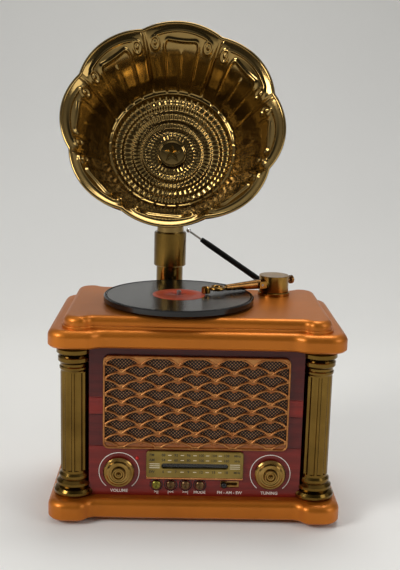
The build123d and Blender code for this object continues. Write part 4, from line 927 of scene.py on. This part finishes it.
class GRAMOPHONE_OT_stage(bpy.types.Operator):
    """Set the floor, soft light and camera"""

    bl_idname = "gramophone.stage"
    bl_label = "Stage"

    def execute(self, context):
        scene = context.scene
        scene.view_settings.view_transform = "Standard"
        bm = bmesh.new()
        near = [bm.verts.new((x, -9.0, 0)) for x in (-9, 9)]
        edge = bm.edges.new(near)
        reach = [edge]
        for move in ((0, 10.6, 0), (0, 0, 5.0)):
            grown = bmesh.ops.extrude_edge_only(bm, edges=reach)
            moved = [v for v in grown["geom"] if isinstance(v, bmesh.types.BMVert)]
            bmesh.ops.translate(bm, verts=moved, vec=move)
            reach = [e for e in grown["geom"] if isinstance(e,
                bmesh.types.BMEdge) and all(v in moved for v in e.verts)]
        fold = [e for e in bm.edges if len(e.link_faces) == 2]
        bmesh.ops.bevel(
            bm, geom=fold, offset=1.0, segments=16, profile=0.5, affect="EDGES", material=-1)
        bmesh.ops.recalc_face_normals(bm, faces=bm.faces)
        bm.normal_update()
        bm.faces.ensure_lookup_table()
        if bm.faces[0].normal.z < 0:
            bmesh.ops.reverse_faces(bm, faces=bm.faces)
        mesh = bpy.data.meshes.new("studio_sweep")
        bm.to_mesh(mesh)
        bm.free()
        for face in mesh.polygons:
            face.use_smooth = True
        paper, tree, shader = new_finish("studio_paper", Roughness=0.9)
        coords = object_coords(tree)
        tree.links.new(
            blend_colours(tree, noise(tree, coords, 400.0), rgba("#EDECE8"), rgba("#F2F1ED")),
            shader.inputs["Base Color"])
        mesh.materials.append(paper)
        sweep = bpy.data.objects.new("studio_sweep", mesh)
        scene.collection.objects.link(sweep)

        world = bpy.data.worlds.new("studio")
        scene.world = world
        world.use_nodes = True
        tree = world.node_tree
        tree.nodes.clear()
        path = add_node(tree, "ShaderNodeLightPath")
        seen = add_node(
            tree, "ShaderNodeMath", operation="MAXIMUM",
            links=[(0, path.outputs["Is Camera Ray"]), (1, path.outputs["Is Transmission Ray"])])
        shown = add_node(tree, "ShaderNodeBackground",
            values=[("Color", rgba("#DDDCDA")), ("Strength", 0.95)])
        direction = add_node(tree, "ShaderNodeTexCoord").outputs["Generated"]
        upward = add_node(
            tree, "ShaderNodeVectorMath", operation="DOT_PRODUCT", values=[(1, (0.0, 0.9, 0.43))],
            links=[(0, direction)])
        level = ranged(tree, upward.outputs["Value"], 0.05, 0.80, -0.35, 0.8)
        lit = add_node(
            tree, "ShaderNodeBackground", values=[("Color", rgba("#F4F4F4"))], links=[("Strength", level)])
        mixed = add_node(
            tree, "ShaderNodeMixShader",
                links=[(0, seen.outputs[0]), (1, lit.outputs[0]), (2, shown.outputs[0])])
        add_node(tree, "ShaderNodeOutputWorld", links=[("Surface", mixed.outputs[0])])

        lamps = (
            ("key_lamp", (-1.25, -0.85, 0.95), 0.65, 13.0),
            ("fill_lamp", (1.3, -0.8, 0.8), 0.9, 5.0),
            ("top_lamp", (0.15, 0.35, 1.5), 0.8, 9.0),
        )
        aim = Vector((0, 0, 0.18))
        for name, place, size, power in lamps:
            lamp = bpy.data.lights.new(name, "AREA")
            lamp.shape = "DISK"
            lamp.size = size
            lamp.energy = power
            holder = bpy.data.objects.new(name, lamp)
            holder.location = place
            holder.rotation_euler = (aim - Vector(place)).to_track_quat("-Z", "Y").to_euler()
            scene.collection.objects.link(holder)

        yaw, pitch, roll = radians(1.2749), radians(11.5339), radians(1.4654)
        ahead = Vector((sin(yaw) * cos(pitch), cos(yaw) * cos(pitch), -sin(pitch)))
        right = Vector((cos(yaw), -sin(yaw), 0))
        up = right.cross(ahead)
        camera_right = right * cos(roll) + up * sin(roll)
        camera_up = up * cos(roll) - right * sin(roll)
        camera = bpy.data.cameras.new("photo_camera")
        camera.sensor_fit = "VERTICAL"
        camera.sensor_height = 36.0
        camera.lens = 925.46 * 36.0 / 570
        holder = bpy.data.objects.new("photo_camera", camera)
        holder.matrix_world = Matrix((
            (camera_right.x, camera_up.x, -ahead.x, -15.53 * MM),
            (camera_right.y, camera_up.y, -ahead.y, -774.13 * MM),
            (camera_right.z, camera_up.z, -ahead.z, 346.66 * MM),
            (0, 0, 0, 1)))
        scene.collection.objects.link(holder)
        scene.camera = holder
        return {"FINISHED"}


class GRAMOPHONE_PT_panel(bpy.types.Panel):
    """Lists the gramophone's pieces and their settings"""

    bl_label = "Gramophone"
    bl_idname = "GRAMOPHONE_PT_panel"
    bl_space_type = "VIEW_3D"
    bl_region_type = "UI"
    bl_category = "Gramophone"

    def draw(self, context):
        for group in (context.scene.gramophone_sizes, context.scene.gramophone_colours):
            for field in group.bl_rna.properties:
                if field.identifier not in {"rna_type", "name"}:
                    self.layout.prop(group, field.identifier)
        for step in STEPS:
            self.layout.operator("gramophone." + step)


STEPS = ("finishes", "stage", "horn_bell", "throat_star", "grille_ribs", "dial_print", "record_label")
CLASSES = (
    GramophoneSizes,
    GramophoneColours,
    GRAMOPHONE_OT_finishes,
    GRAMOPHONE_OT_horn_bell,
    GRAMOPHONE_OT_throat_star,
    GRAMOPHONE_OT_grille_ribs,
    GRAMOPHONE_OT_dial_print,
    GRAMOPHONE_OT_record_label,
    GRAMOPHONE_OT_stage,
    GRAMOPHONE_PT_panel,
)


def register():
    """Register the classes and their settings."""
    for item in CLASSES:
        bpy.utils.register_class(item)
    bpy.types.Scene.gramophone_sizes = bpy.props.PointerProperty(type=GramophoneSizes)
    bpy.types.Scene.gramophone_colours = bpy.props.PointerProperty(type=GramophoneColours)


def unregister():
    """Remove the classes and their settings."""
    del bpy.types.Scene.gramophone_sizes
    del bpy.types.Scene.gramophone_colours
    for item in reversed(CLASSES):
        bpy.utils.unregister_class(item)


def main():
    """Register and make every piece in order."""
    register()
    for step in STEPS:
        getattr(bpy.ops.gramophone, step)()


if __name__ == "__main__":
    main()
